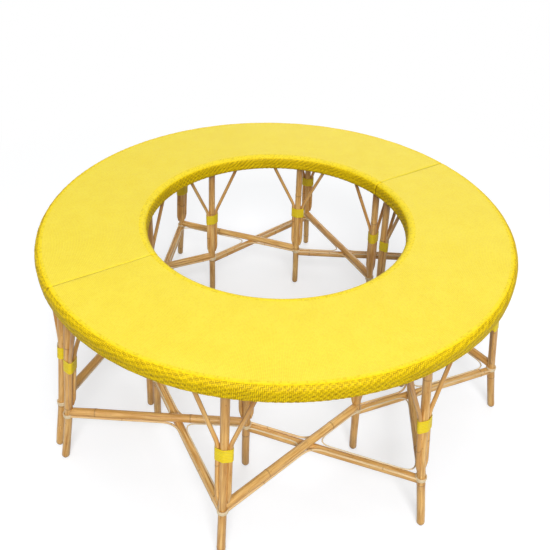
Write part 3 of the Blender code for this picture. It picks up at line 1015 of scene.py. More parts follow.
@dataclass
class SeatCover:
    """The woven cover of one half: a fine top, twill skirts outside and in the well, and end walls.

    Attributes:
        half: The half that it covers.
        top_edge: Radius of the rounding along the top.
        skirt_edge: Radius of the rounding along the underside.
        hem: Width of the hem turned under.
        border: Width of the flat strip by which a skirt reaches onto the top.
        strand: Width of a strand of the skirts.
        ease: Length over which the skirts' weave rises from the smooth top.
        well_smooth: How much further the smooth top reaches over the edge at the well.
        relief: Height of the skirts' weave.
        rib_relief: Height of the slanted ribs that the weave makes.
        rib_pitch: Height from one rib to the next.
        rib_slope: How steep the ribs are beside the place where they slant most.
        rib_slant: How much steeper they are there.
        slant_place: The angle of that place.
        slant_width: How wide it is, as an angle.
        grain_step: Size of the skirts' faces.
        seam_edge: Radius of the rounding at the seam.
        waves: Height of the top's slight unevenness.
    """

    half: Half
    top_edge: float = 0.014
    skirt_edge: float = 0.008
    hem: float = 0.013
    border: float = 0.004
    strand: float = 0.0033
    ease: float = 0.005
    well_smooth: float = 0.010
    relief: float = 0.0009
    rib_relief: float = 0.0005
    rib_pitch: float = 0.0105
    rib_slope: float = 0.13
    rib_slant: float = 0.68
    slant_place: float = math.radians(116.0)
    slant_width: float = math.radians(18.0)
    grain_step: float = 0.0011
    seam_edge: float = 0.004
    waves: float = 0.0004

    # Lengths from the cut at the seam to the rings of points that round it off.
    SEAM_RINGS = (0.0, 0.0003, 0.0009, 0.0017)
    # Points of a skirt's outer line on its rounded top edge, its wall, its rounded underside and its hem.
    EDGE_POINTS, WALL_POINTS, UNDER_POINTS, HEM_POINTS = 21, 13, 12, 5
    # The twill, in widths of a strand: how far from its middle a strand stays level, and over what length
    # it then passes to the next crossing; and its height where it lies under, as a share of the whole.
    CROSSING_FLAT = 0.2
    CROSSING_TURN = 0.3
    UNDER_HEIGHT = 0.2
    # The waves that make the ribs uneven: height, radians a metre round the ring and down it, and start.
    RIB_WAVES = ((0.16, 61, 140, 0.0), (0.10, 173, -90, 1.0))
    # The share of the weave's height that lies on the outline, and the shades of the strands that run
    # round the ring and the painted shade of the hollows between the ribs.
    LEVEL_ON_OUTLINE = 0.75
    LEVEL_STRAND_SHADE = 0.82
    HOLLOW_SHADE = 0.72
    # The bevel of the hidden line behind the top edge, as a share of the edge's radius.
    BEVEL = 0.45
    # The third strand number where the weave is smooth.
    SMOOTH = 2.0
    # The top: rings of points from the well to the rim, their step along the rim, and the border on
    # which it stays flat.
    TOP_POINTS = 48
    TOP_STEP = 0.006
    RIPPLE_BORDER = 0.02
    # The end walls: how far behind the cut they stand, and which points of the skirts' line they take.
    END_INSET = 0.0003
    END_STRIDE = 3

    @property
    def node(self) -> str:
        """The frame's node that the cover replaces."""
        return f"{self.half.word}_seat_cover"

    def angles(self, radius: float, step: float) -> Array:
        """Angles of the rings of points round the half, closer together at the seam.

        Args:
            radius: Radius at which the step is measured.
            step: Length between two rings.

        Returns:
            Angles from the +X end to the -X end.
        """
        start = math.asin(PLAN.seam_gap / 2 / radius)
        near = np.array(self.SEAM_RINGS) / radius
        count = int((math.pi - 2 * start) * radius / step)
        first = start + self.seam_edge / radius
        middle = np.linspace(first, math.pi - start - self.seam_edge / radius, count)
        return np.concatenate((start + near, middle, math.pi - start - near[::-1]))

    def skirt_profile(self, rim: float, inward: int) -> tuple[Array, Array]:
        """The outer line of a skirt, from the top to the hem.

        Args:
            rim: Radius of the skirt's wall.
            inward: -1 where the seat lies inside the wall, and 1 where it lies outside.

        Returns:
            Points as (radius, height), and the direction out of the cover at each.
        """
        top, low = PLAN.seat_height, PLAN.underside
        corners = []
        for index in range(int(self.border / self.grain_step) + 1):
            corners.append((self.top_edge + self.border - index * self.grain_step, top))
        edge, under = self.top_edge, self.skirt_edge
        for turn in np.linspace(0.0, math.pi / 2, self.EDGE_POINTS):
            corners.append((edge * (1 - math.sin(turn)), top - edge * (1 - math.cos(turn))))
        for height in np.linspace(top - edge, low + under, self.WALL_POINTS)[1:-1]:
            corners.append((0.0, height))
        for turn in np.linspace(0.0, math.pi / 2, self.UNDER_POINTS):
            corners.append((under * (1 - math.cos(turn)), low + under * (1 - math.sin(turn))))
        for inset in np.linspace(under, self.hem, self.HEM_POINTS)[1:]:
            corners.append((inset, low))
        line = np.array(corners)
        tangent = unit(np.gradient(line, axis=0))
        outward = np.stack((tangent[:, 1], -tangent[:, 0]), axis=1)
        line[:, 0] = rim + inward * line[:, 0]
        outward[:, 0] *= inward
        return line, outward

    def twill(self, around: Array, down: Array, middle: float) -> tuple[Array, Array]:
        """A two-over-two twill whose ribs lean away from the middle of the half on both sides.

        Args:
            around: Strands counted round the ring.
            down: Strands counted from the top to the hem.
            middle: The count at the middle of the half.

        Returns:
            Heights from 0 between the strands to 1 on their crowns, and 1 where a strand from the top to
            the hem lies above.
        """
        def over(column: Array, row: Array) -> Array:
            """1 where the strand from the top to the hem lies above, and 0 elsewhere."""
            return ((column + np.where(column > middle, row, -row)) % 4 < 2).astype(float)

        def passed(offset: Array) -> Array:
            """How much of the next crossing's height a strand has taken on, from none to half."""
            return 0.5 * np.clip((np.abs(offset) - self.CROSSING_FLAT) / self.CROSSING_TURN, 0, 1)

        def crown(offset: Array, above: Array) -> Array:
            """Height of a round strand that lies above or below."""
            rounding = np.sqrt(np.cos(math.pi * offset).clip(0, 1))
            return rounding * (self.UNDER_HEIGHT + (1 - self.UNDER_HEIGHT) * above)

        column, row = np.floor(around), np.floor(down)
        across, along = around - column - 0.5, down - row - 0.5
        here = over(column, row)
        next_row = over(column, row + np.sign(along))
        next_column = over(column + np.sign(across), row)
        ease_along, ease_across = passed(along), passed(across)
        upright = here * (1 - ease_along) + next_row * ease_along
        level = (1 - here) * (1 - ease_across) + (1 - next_column) * ease_across
        first, second = crown(across, upright), crown(along, level)
        return np.maximum(first, second), (first > second).astype(float)

    def ribs(self, angles: Array, radius: float, length: Array) -> Array:
        """The slanted ribs of a skirt: slightly uneven, and steepest beside one place of the outer skirt.

        Args:
            angles: Angles of the rings of points.
            radius: The skirt's radius.
            length: Length down the skirt at each of its points.

        Returns:
            Heights from 0 between the ribs to 1 on them.
        """
        if radius == PLAN.well_radius:
            slope = np.full_like(angles, -self.rib_slant)
        else:
            from_place = (angles - self.slant_place) / self.slant_width
            slope = self.rib_slope + self.rib_slant * np.exp(-from_place ** 2)
        drift = np.concatenate(((0.0,), np.cumsum(slope[1:] * np.diff(angles) * radius)))
        phase = (length[None, :] + self.half.value * drift[:, None]) / self.rib_pitch
        along = (angles * radius)[:, None]
        uneven = sum(height * np.sin(along * around + length * down + start)
                     for height, around, down, start in self.RIB_WAVES)
        return 0.5 + 0.5 * np.cos(2 * math.pi * (phase + uneven))

    def shell(self, line: Array, outward: Array, inner: Array, angles: Array, radius: float,
              strands_down: Array) -> Shape:
        """Sweep a closed section round the half, with the weave raised on its outer line.

        Args:
            line: The outer line as (radius, height).
            outward: Direction out of the cover at each of its points.
            inner: The hidden line that closes the section.
            angles: Angles of the rings of points.
            radius: Radius at which the strands round the ring are counted.
            strands_down: Strands counted along the outer line.

        Returns:
            The shell's mesh.
        """
        around = np.broadcast_to(angles[:, None] * radius / self.strand, (len(angles), len(line)))
        down = np.broadcast_to(strands_down[None, :], around.shape)
        height, above = self.twill(around, down, math.floor(math.pi / 2 * radius / self.strand))
        length = strands_down * self.strand
        smooth = self.border + (self.well_smooth if radius == PLAN.well_radius else 0.0)
        fade = np.clip(np.minimum((length - smooth) / self.ease, (length[-1] - length) / self.border), 0, 1)
        from_seam = np.minimum(angles - angles[0], angles[-1] - angles)[:, None] * radius
        drop = self.seam_edge - np.sqrt(np.maximum(
            0.0, self.seam_edge ** 2 - np.maximum(0.0, self.seam_edge - from_seam) ** 2))
        ribs = self.ribs(angles, radius, length)
        level = self.LEVEL_ON_OUTLINE
        raised = (height - level) * self.relief + (ribs - level) * self.rib_relief
        lift = raised * fade[None, :] - drop
        radii = line[None, :, 0] + outward[None, :, 0] * lift
        heights = line[None, :, 1] + outward[None, :, 1] * lift
        hidden = np.broadcast_to(inner[None], (len(angles), *inner.shape))
        radii = np.concatenate((radii, hidden[..., 0]), axis=1)
        heights = np.concatenate((heights, hidden[..., 1]), axis=1)
        points = np.stack((radii * np.cos(angles)[:, None],
                           radii * np.sin(angles)[:, None] * self.half.value, heights), axis=-1)
        strands = np.zeros(points.shape)
        strands[:, :len(line), 0], strands[:, :len(line), 1] = around, down
        # The third strand number: the weave's height as painted shade, darker in the hollows between strands
        # and ribs.
        if self.relief:
            strand_shade = np.where(above > 0, 1.0, self.LEVEL_STRAND_SHADE)
            rib_shade = self.HOLLOW_SHADE + (1 - self.HOLLOW_SHADE) * ribs
            shade = height * strand_shade * rib_shade * fade + self.SMOOTH * (1 - fade)
        else:
            shade = np.full_like(height, self.SMOOTH)
        # It falls to 0 in the seam's rounding, for the painted shade at the seam.
        strands[:, :len(line), 2] = shade * (1 - drop / self.seam_edge)
        faces = ring_faces(len(angles), points.shape[1])
        return Shape(points.reshape(-1, 3), self.turned_out(points.reshape(-1, 3), faces),
                     {STRANDS: strands.reshape(-1, 3)})

    @staticmethod
    def turned_out(points: Array, faces: list[Sequence[int]]) -> list[Sequence[int]]:
        """The faces, turned over if they enclose their volume inside out."""
        quads = points[np.array([face for face in faces if len(face) == 4])]
        volume = sum(float(np.einsum("ij,ij->i", quads[:, 0], np.cross(quads[:, one], quads[:, two])).sum())
                     for one, two in ((1, 2), (2, 3)))
        return faces if volume > 0 else [tuple(reversed(face)) for face in faces]

    def skirt(self, rim: float, inward: int) -> Shape:
        """One skirt with its part of the top edge and its hem."""
        line, outward = self.skirt_profile(rim, inward)
        wall, top, low = PLAN.cover_wall, PLAN.seat_height, PLAN.underside
        bevel = self.top_edge * self.BEVEL
        inner = np.array(((self.hem, low + wall), (self.skirt_edge, low + wall),
                          (wall, low + self.skirt_edge), (wall, top - self.top_edge),
                          (bevel, top - bevel), (self.top_edge + self.border, top - wall)))
        inner[:, 0] = rim + inward * inner[:, 0]
        angles = self.angles(rim, self.grain_step)
        return self.shell(line, outward, inner, angles, rim, lengths_along(line) / self.strand)

    def top(self) -> Shape:
        """The fine woven top between the two skirts."""
        reach = self.top_edge + self.border
        radii = np.linspace(PLAN.well_radius + reach, PLAN.seat_radius - reach, self.TOP_POINTS)
        line = np.stack((radii, np.full(len(radii), PLAN.seat_height)), axis=1)
        outward = np.tile((0.0, 1.0), (len(radii), 1))
        wall = PLAN.seat_height - PLAN.cover_wall
        inner = np.array(((radii[-1], wall), (radii[0], wall)))
        plain = SeatCover(self.half, relief=0.0, rib_relief=0.0)
        angles = self.angles(PLAN.seat_radius, self.TOP_STEP)
        strands = (radii - radii[0]) / self.strand
        shape = plain.shell(line, outward, inner, angles, PLAN.seat_radius, strands)
        self.ripple(shape.points, radii[0], radii[-1])
        return shape

    def ripple(self, points: Array, inner: float, outer: float) -> None:
        """Raise and lower the top a little, and nothing at its borders."""
        radius = np.hypot(points[:, 0], points[:, 1])
        share = np.clip(np.minimum(radius - inner, outer - radius) / self.RIPPLE_BORDER, 0, 1)
        x, y = points[:, 0], points[:, 1]
        crossed = np.sin(x * 37 + 1.3) * np.sin(y * 29 + 0.4)
        slanted = 0.5 * np.sin(x * 71 - y * 55)
        points[:, 2] += self.waves * (crossed + slanted - 0.6) * share

    def end_wall(self, at_left: bool) -> Shape:
        """The flat woven wall that closes the cover at the seam.

        Args:
            at_left: True for the -X end.

        Returns:
            The wall's mesh.
        """
        outlines = []
        for rim, inward in ((PLAN.seat_radius, -1), (PLAN.well_radius, 1)):
            line, outward = self.skirt_profile(rim, inward)
            outlines.append((line - outward * self.seam_edge)[::self.END_STRIDE])
        outline = np.concatenate((outlines[0][::-1], outlines[1]))
        side, near = self.half.value, PLAN.seam_gap / 2
        points, sign = [], -1 if at_left else 1
        for depth in (near + self.END_INSET, near + PLAN.cover_wall):
            for radius, height in outline:
                points.append((sign * math.sqrt(radius ** 2 - depth ** 2), side * depth, height))
        points = np.array(points)
        faces = ring_faces(2, len(outline))
        counts = points / self.strand
        strands = np.stack((counts[:, 0], counts[:, 2], np.full(len(points), self.SMOOTH)), axis=1)
        return Shape(points, self.turned_out(points, faces), {STRANDS: strands})

    def build(self, finishes: Finishes) -> None:
        """Make the cover's pieces."""
        word = self.half.word
        self.top().piece(f"{word}_seat_top", finishes.top, Slot.WOVEN, self.node)
        for label, rim, inward in (("outer", PLAN.seat_radius, -1), ("inner", PLAN.well_radius, 1)):
            self.skirt(rim, inward).piece(f"{word}_{label}_skirt", finishes.skirt, Slot.WOVEN, self.node)
        for label, at_left in (("left", True), ("right", False)):
            self.end_wall(at_left).piece(f"{word}_end_wall_{label}", finishes.top, Slot.WOVEN, self.node)
        log.info("%s cover: top, two skirts, two end walls", word)


@dataclass
class SeatFrame:
    """The hoops and rails of one half, under its cover.

    Attributes:
        half: The half that they carry.
        rail_lift: How far the rails' underside stands above the hoops'.
    """

    half: Half
    rail_lift: float = 0.001

    # The first seeds of the hoops and rails, and the step to the other half's.
    HOOP_SEED, RAIL_SEED, HALF_SEED = 40, 60, 10
    HOOP_POINTS = 120

    def build(self, finishes: Finishes) -> None:
        """Make the two hoops and the five rails."""
        word = self.half.word
        node = f"{word}_seat_frame"
        own_seed = self.HALF_SEED * self.half.value
        for index, (row, radius) in enumerate(((Row.OUTER, PLAN.outer_hoop), (Row.INNER, PLAN.inner_hoop))):
            start = math.asin((PLAN.seam_gap + PLAN.cover_wall) / radius)
            turns = np.linspace(start, math.pi - start, self.HOOP_POINTS)
            route = np.stack((radius * np.cos(turns), radius * np.sin(turns) * self.half.value,
                              np.full(len(turns), PLAN.hoop_height)), axis=1)
            seed = self.HOOP_SEED + index + own_seed
            hoop = Cane(route, PLAN.hoop_radius, seed, sides=24, step=0.012)
            hoop.shape().piece(f"{word}_{row.value}_hoop", finishes.rattan, Slot.RATTAN, node)
        height = PLAN.hoop_height - PLAN.hoop_radius + self.rail_lift + PLAN.rail_radius
        for number in PLAN.stations:
            station = Station(number, self.half)
            ends = [station.point(math.sqrt(radius ** 2 - station.inset ** 2), height=height)
                    for radius in (PLAN.inner_hoop, PLAN.outer_hoop)]
            rail = Cane(np.array(ends), PLAN.rail_radius, self.RAIL_SEED + number + own_seed, sides=18)
            rail.shape().piece(f"{word}_rail_{number}", finishes.rattan, Slot.RATTAN, node)
        log.info("%s seat frame: two hoops and %d rails", word, len(PLAN.stations))


def wrap_outline(bundle: Sequence[tuple[Array, float]], margin: float, count: int) -> Array:
    """The line that a tight strip takes round a bundle of round canes.

    Args:
        bundle: Centre and radius of each cane, in the bundle's own flat axes.
        margin: How far outside the canes the line runs.
        count: How many points it has.

    Returns:
        The points, anticlockwise from the first axis.
    """
    turns = np.linspace(0, 2 * math.pi, count, endpoint=False)
    normals = np.stack((np.cos(turns), np.sin(turns)), axis=1)
    reach = np.max([normals @ centre + radius for centre, radius in bundle], axis=0) + margin
    slope = (np.roll(reach, -1) - np.roll(reach, 1)) / (turns[1] * 2)
    tangents = np.stack((-normals[:, 1], normals[:, 0]), axis=1)
    return normals * reach[:, None] + tangents * slope[:, None]


@dataclass
class Winding:
    """A strip or cane wound round a bundle, turn beside turn.

    Attributes:
        middle: The middle of the winding, on the bundle's axis.
        upright: The bundle's direction.
        across: A direction square to it, from which the turns start.
        bundle: Centre and radius of each cane in the bundle.
        turns: How many turns it has.
        width: Width of the strip along the bundle.
        thickness: Its thickness.
        slack: Width of the crack between two turns.
        seed: Seeds its unevenness.
    """

    middle: Array
    upright: Array
    across: Array
    bundle: Sequence[tuple[Array, float]]
    turns: int
    width: float
    thickness: float
    slack: float
    seed: int

    # Points of a turn, and of the strip's section.
    POINTS_A_TURN = 36
    SECTION = 10
    # The most by which a turn stands off the bundle.
    LOOSE = 0.0002
    # How square the section is across its thickness and its width, and how sharp the painted shade in the
    # crack between turns is.
    FACE_POWER = 0.8
    EDGE_POWER = 0.5
    CRACK_POWER = 6

    def shape(self) -> Shape:
        """Sweep the strip's section round the bundle.

        Returns:
            The winding's mesh.
        """
        deep = np.cross(self.upright, self.across)
        outline = wrap_outline(self.bundle, self.thickness / 2, self.POINTS_A_TURN)
        count = self.turns * self.POINTS_A_TURN
        step = np.arange(count + 1)
        draws = np.random.default_rng(self.seed)
        flat = outline[step % self.POINTS_A_TURN]
        turn_starts = np.arange(self.turns + 2) * self.POINTS_A_TURN
        loose = np.interp(step, turn_starts, draws.uniform(0, self.LOOSE, self.turns + 2))
        flat = flat * (1 + loose / np.linalg.norm(flat, axis=1))[:, None]
        pitch = self.width + self.slack
        rise = (step / self.POINTS_A_TURN - self.turns / 2) * pitch * (self.turns - 1) / self.turns
        local = flat[:, :1] * self.across + flat[:, 1:] * deep
        route = self.middle + local + self.upright * rise[:, None]
        inward, upward = cross_axes(route, self.upright)
        turn = np.linspace(0, 2 * math.pi, self.SECTION, endpoint=False)
        thin = np.sign(np.cos(turn)) * np.abs(np.cos(turn)) ** self.FACE_POWER * self.thickness / 2
        wide = np.sign(np.sin(turn)) * np.abs(np.sin(turn)) ** self.EDGE_POWER * self.width / 2
        section = inward[:, None] * thin[None, :, None] + upward[:, None] * wide[None, :, None]
        points = route[:, None] + section
        straight = np.empty_like(points)
        straight[..., 0], straight[..., 1] = thin[None], wide[None]
        straight[..., 2] = (lengths_along(route) + self.seed * SEED_STRIDE)[:, None]
        tint = np.zeros_like(points)
        # Painted shade in the crack between two turns, darkest at the strip's edges.
        tint[..., 0] = (np.abs(wide) / (self.width / 2))[None] ** self.CRACK_POWER
        tint[..., 1] = draws.uniform(0, 1)
        faces = ring_faces(len(route), self.SECTION)
        return Shape(points.reshape(-1, 3), faces,
                     {STRAIGHT: straight.reshape(-1, 3), TINT: tint.reshape(-1, 3)})


@dataclass
class Leg:
    """One leg with its two braces, its yellow binding, the lashing at its joint and its glide.

    Attributes:
        line: Where the leg runs.
        brace_start: Height at which the braces begin.
        binding_height: Height of the binding's middle.
        binding_length: Height of the binding.
        outer_spread: How far along the outer hoop a brace forks out.
        inner_spread: The same on the inner hoop.
        radial_spread: How far along a rail the brace of an end leg forks out.
        fork_inset: How far inside the hoops' axes the braces end.
        press: How deep a brace is pressed to the leg.
        glide_height: Height of the glide.
        glide_radius: Radius of the glide.
        kick_corner: How far from the joint the pole begins to turn.
        foot_rounding: Radius of the rounding at the pole's ends.
        tip_length: Length of a brace's pared tip.
        tip_offset: Distance of its point from the leg, as a share of the brace's radius.
        fork_corner: How far from a bend a brace begins to turn.
        binding_turns: How many turns the binding has.
        strip: Thickness of the binding's strip.
        strip_crack: Width of the crack between two of its turns.
        lashing_turns: How many turns the lashing has.
        lashing_pitch: Width of one of its turns.
        lashing_cane: Thickness of its cane.
        lashing_gap: Gap between two of its turns, and half the gap between it and the leg.
    """

    line: LegLine
    brace_start: float = 0.156
    binding_height: float = 0.283
    binding_length: float = 0.0352
    outer_spread: float = 0.066
    inner_spread: float = 0.081
    radial_spread: float = 0.038
    fork_inset: float = 0.0075
    press: float = 0.0005
    glide_height: float = 0.004
    glide_radius: float = 0.0066
    kick_corner: float = 0.045
    foot_rounding: float = 0.0032
    tip_length: float = 0.022
    tip_offset: float = 0.35
    fork_corner: float = 0.012
    binding_turns: int = 8
    strip: float = 0.0014
    strip_crack: float = 0.0002
    lashing_turns: int = 4
    lashing_pitch: float = 0.0031
    lashing_cane: float = 0.0030
    lashing_gap: float = 0.0001

    # Steps from the leg's own seed to those of its braces and its lashing.
    BRACE_SEED = 300
    LASHING_SEED = 7

    @property
    def seed(self) -> int:
        """A number of the leg's own for its random draws."""
        line = self.line
        return (line.station.number + (10 if line.row is Row.OUTER else 20)
                + (100 if line.station.half is Half.REAR else 200))

    @property
    def node(self) -> str:
        """The frame's node of the leg and its braces."""
        return f"{self.line.name}_leg_{self.line.station.number}"

    @property
    def brace_offset(self) -> float:
        """Distance between a brace's axis and the leg's."""
        return PLAN.leg_radius + PLAN.brace_radius - self.press

    def brace_sides(self) -> list[tuple[Array, Array]]:
        """For each brace, its level direction off the leg and its top under the seat frame."""
        station, outer = self.line.station, self.line.row is Row.OUTER
        height = PLAN.hoop_height - PLAN.hoop_radius
        if outer:
            ring, spread, inward = PLAN.outer_hoop - self.fork_inset, self.outer_spread, -1
        else:
            ring, spread, inward = PLAN.inner_hoop + self.fork_inset, self.inner_spread, 1
        signs = (station.bay_sign,) if station.is_end else (-1, 1)
        sides = [(station.along * sign, station.on_ring(ring, spread * sign, height)) for sign in signs]
        if station.is_end:
            reach = self.line.distance(PLAN.leg_top) + inward * (self.radial_spread + self.brace_offset)
            sides.append((station.out * inward, station.point(reach, height=PLAN.leg_top)))
        return sides

    def pole(self) -> Shape:
        """The leg's own pole, with its slight kick at the joint."""
        corners = [self.line.at(self.glide_height * 0.5), self.line.at(PLAN.joint_height),
                   self.line.at(PLAN.leg_top)]
        route = rounded_route(corners, self.kick_corner)
        return Cane(route, PLAN.leg_radius, self.seed, reference=self.line.station.along, sides=24,
                    rounding=self.foot_rounding).shape()

    def brace(self, side: tuple[Array, Array], index: int) -> Shape:
        """One brace: a pared tip, a run along the leg and the fork above the binding."""
        direction, top = side
        fork = self.binding_height + self.binding_length / 2 + PLAN.brace_radius
        offset = direction * self.brace_offset
        tip_reach = PLAN.leg_radius + PLAN.brace_radius * self.tip_offset
        tip = self.line.at(self.brace_start) + direction * tip_reach
        start = self.line.at(self.brace_start + self.tip_length) + offset
        bend = self.line.at(fork) + offset
        route = rounded_route([tip, start, bend, top], self.fork_corner)
        reference = np.cross(self.line.upright, direction)
        return Cane(route, PLAN.brace_radius, self.seed + self.BRACE_SEED * index, reference=reference,
                    sides=16, rounding=0.0006, tip=0.018, bow=0.0003).shape()

    def binding(self) -> Shape:
        """The yellow strip wound round the leg and its braces."""
        bundle = [(np.zeros(2), PLAN.leg_radius)]
        upright, across = self.line.upright, self.line.station.along
        deep = np.cross(upright, across)
        for direction, _ in self.brace_sides():
            offset = direction * self.brace_offset
            bundle.append((np.array((offset @ across, offset @ deep)), PLAN.brace_radius))
        width = self.binding_length / self.binding_turns - self.strip_crack
        return Winding(self.line.at(self.binding_height), upright, across, bundle, self.binding_turns,
                       width=width, thickness=self.strip, slack=self.strip_crack, seed=self.seed).shape()

    def lashing(self) -> Shape:
        """The cream cane wound round the joint."""
        outward = self.line.station.out * (1 if self.line.row is Row.OUTER else -1)
        bundle = [(np.zeros(2), PLAN.leg_radius + 2 * self.lashing_gap)]
        return Winding(self.line.at(PLAN.joint_height), UP, -outward, bundle, self.lashing_turns,
                       width=self.lashing_pitch, thickness=self.lashing_cane, slack=self.lashing_gap,
                       seed=self.seed + self.LASHING_SEED).shape()

    def glide(self) -> Shape:
        """The small round glide under the foot."""
        foot = self.line.at(self.glide_height) * np.array((1.0, 1.0, 0.0))
        route = np.array((foot, foot + UP * self.glide_height / 2, foot + UP * self.glide_height))
        return Cane(route, self.glide_radius, self.seed, reference=self.line.station.along, sides=24,
                    step=0.001, rounding=0.0008, knot_gap=None, bow=0.0).shape()

    def build(self, finishes: Finishes) -> None:
        """Make the leg's pieces."""
        number, name = self.line.station.number, self.line.name
        binding_node = f"{name}_binding_{number}"
        self.pole().piece(f"{name}_pole_{number}", finishes.rattan, Slot.RATTAN, self.node)
        for index, side in enumerate(self.brace_sides(), start=1):
            made = self.brace(side, index)
            made.piece(f"{name}_brace_{number}_{index}", finishes.rattan, Slot.RATTAN, self.node)
        self.binding().piece(f"{name}_strip_{number}", finishes.binding, Slot.BINDING, binding_node)
        lining = f"{name}_lining"
        self.lashing().piece(f"{name}_lashing_{number}", finishes.lashing, Slot.CANE, lining)
        self.glide().piece(f"{name}_glide_{number}", finishes.glide, Slot.RATTAN, self.node)


@dataclass
class Stretchers:
    """The crossing stretchers of one half and the canes that line them.

    Attributes:
        half: The half that they tie together.
        lines: The axes of its legs.
        radius: Half the thickness of a stretcher.
        rise: How far a bay's upper stretcher lies above the joints, and its lower one below.
        into_leg: How far a stretcher's coped end stops short of the leg's axis.
        lining_radius: Half the thickness of the cane along the outer and inner side.
        loop_radius: Half the thickness of the thin cane round a station.
        corner: How far from a corner the lining canes begin to turn.
        loop_corner: The same for the loops.
        lining_past: How far the lining canes run past a leg's axis.
        loop_short: How far the loops stop short of it.
    """

    half: Half
    lines: dict[Row, dict[int, LegLine]]
    radius: float = 0.0095
    rise: float = 0.0088
    into_leg: float = 0.0055
    lining_radius: float = 0.0025
    loop_radius: float = 0.0017
    corner: float = 0.030
    loop_corner: float = 0.034
    lining_past: float = 0.003
    loop_short: float = 0.004

    # The first seed of each half, and the steps from it to the bays', the lining canes' and the loops'.
    SEEDS = {Half.REAR: 400, Half.FRONT: 500}
    BAY_SEED, LINING_SEED, LOOP_SEED = 10, 50, 70
    # Least and most length between two knots of a lining cane.
    LINING_KNOTS = (0.11, 0.19)

    def joint(self, row: Row, number: int, lift: float = 0.0) -> Array:
        """A leg's axis at the joint, or a little above or below it."""
        place = self.lines[row][number].at(PLAN.joint_height)
        return place + UP * lift

    def crossing(self, bay: int) -> Array:
        """Where the two stretchers of a bay cross, at the joints' height."""
        one, one_end = self.joint(Row.OUTER, bay + 1), self.joint(Row.INNER, bay)
        two, two_end = self.joint(Row.INNER, bay + 1), self.joint(Row.OUTER, bay)
        run, other, gap = one_end - one, two_end - two, two - one
        share = (gap[0] * other[1] - gap[1] * other[0]) / (run[0] * other[1] - run[1] * other[0])
        return one + run * share

    def stretcher(self, start: Array, end: Array, seed: int) -> Shape:
        """A pole from leg to leg, its ends coped into both."""
        run = unit(end - start)
        route = np.array((start + run * self.into_leg, end - run * self.into_leg))
        return Cane(route, self.radius, seed, sides=24, rounding=0.0005).shape()

    def beside(self, cane_radius: float) -> float:
        """Level distance between a stretcher's axis and a cane that lies along it."""
        return math.sqrt((self.radius + cane_radius) ** 2 - self.rise ** 2)

    def inside_corner(self, corner: Array, one: Array, two: Array, away: float) -> Array:
        """The corner of a cane that lies inside two poles that meet.

        Args:
            corner: Where the poles' axes meet.
            one: A place on the first pole's axis.
            two: A place on the second's.
            away: Level distance from the axes to the cane.

        Returns:
            The cane's corner.
        """
        first, second = unit(one - corner), unit(two - corner)
        half_angle = math.acos(float(np.clip(first @ second, -1, 1))) / 2
        return corner + unit(first + second) * away / math.sin(half_angle)

    def bent(self, cross: Array, feet: Sequence[Array], away: float, past: float, bend: float) -> Array:
        """The route of a cane along two poles, round the inside of the corner where they cross.

        Args:
            cross: Where the poles' axes cross.
            feet: Where they end.
            away: Level distance from the axes to the cane.
            past: How far the cane runs past their ends.
            bend: How far from the corner it begins to turn.

        Returns:
            The route.
        """
        corner = self.inside_corner(cross, *feet, away)
        ends = []
        for foot in feet:
            run = unit(foot - cross)
            side = corner - cross
            side = unit(side - run * (side @ run))
            ends.append(foot + side * away + run * past)
        return rounded_route([ends[0], corner, ends[1]], bend)

    def lining_arm(self, row: Row, bay: int) -> Array:
        """The route of the cane along the two arms of a bay that face out or into the well."""
        feet = (self.joint(row, bay), self.joint(row, bay + 1))
        return self.bent(self.crossing(bay), feet, self.beside(self.lining_radius), self.lining_past,
                         self.corner)

    def loop(self, number: int) -> Array:
        """The route of the thin cane round a station, inside the stretchers that meet there."""
        outer, inner = self.joint(Row.OUTER, number), self.joint(Row.INNER, number)
        crossings = [self.crossing(bay) for bay in (number - 1, number) if bay in PLAN.stations[:-1]]
        away = self.beside(self.loop_radius)
        if len(crossings) == 1:
            return self.bent(crossings[0], (outer, inner), away, -self.loop_short, self.loop_corner)
        corners = []
        ring = [outer, crossings[0], inner, crossings[1]]
        for index, corner in enumerate(ring):
            corners.append(self.inside_corner(corner, ring[index - 1], ring[(index + 1) % 4], away))
        return rounded_route(corners, self.loop_corner, closed=True)

    def build(self, finishes: Finishes) -> None:
        """Make the stretchers and the lining canes."""
        word = self.half.word
        own_seed = self.SEEDS[self.half]
        for bay in PLAN.stations[:-1]:
            node = f"{word}_stretchers_{bay}"
            runs = (("upper", (Row.OUTER, bay + 1), (Row.INNER, bay), self.rise),
                    ("lower", (Row.INNER, bay + 1), (Row.OUTER, bay), -self.rise))
            for index, (label, start, end, lift) in enumerate(runs):
                seed = own_seed + self.BAY_SEED * bay + index
                made = self.stretcher(self.joint(*start, lift), self.joint(*end, lift), seed)
                made.piece(f"{word}_{label}_stretcher_{bay}", finishes.rattan, Slot.RATTAN, node)
            for row in Row:
                cane = Cane(self.lining_arm(row, bay), self.lining_radius, own_seed + self.LINING_SEED + bay,
                            sides=12, bow=0.0003, knot_gap=self.LINING_KNOTS).shape()
                cane.piece(f"{word}_{row.value}_lining_{bay}", finishes.lining, Slot.CANE,
                           f"{word}_{row.value}_lining")
        for number in PLAN.stations:
            loop = Cane(self.loop(number), self.loop_radius, own_seed + self.LOOP_SEED + number, sides=10,
                        bow=0.0002, knot_gap=None).shape()
            loop.piece(f"{word}_loop_{number}", finishes.lashing, Slot.CANE, f"{word}_outer_lining")
        log.info("%s stretchers: eight poles with their lining canes", word)


@dataclass
class HalfBench:
    """One half ring with everything on it.

    Attributes:
        half: Which half it is.
    """

    half: Half

    def build(self, finishes: Finishes) -> None:
        """Make the half's sub-assemblies in the order in which a maker would."""
        lines = {row: {number: LegLine(Station(number, self.half), row) for number in PLAN.stations}
                 for row in Row}
        SeatFrame(self.half).build(finishes)
        for row in Row:
            for line in lines[row].values():
                Leg(line).build(finishes)
            log.info("%s %s legs: five, with braces, bindings and lashings", self.half.word, row.value)
        Stretchers(self.half, lines).build(finishes)
        SeatCover(self.half).build(finishes)


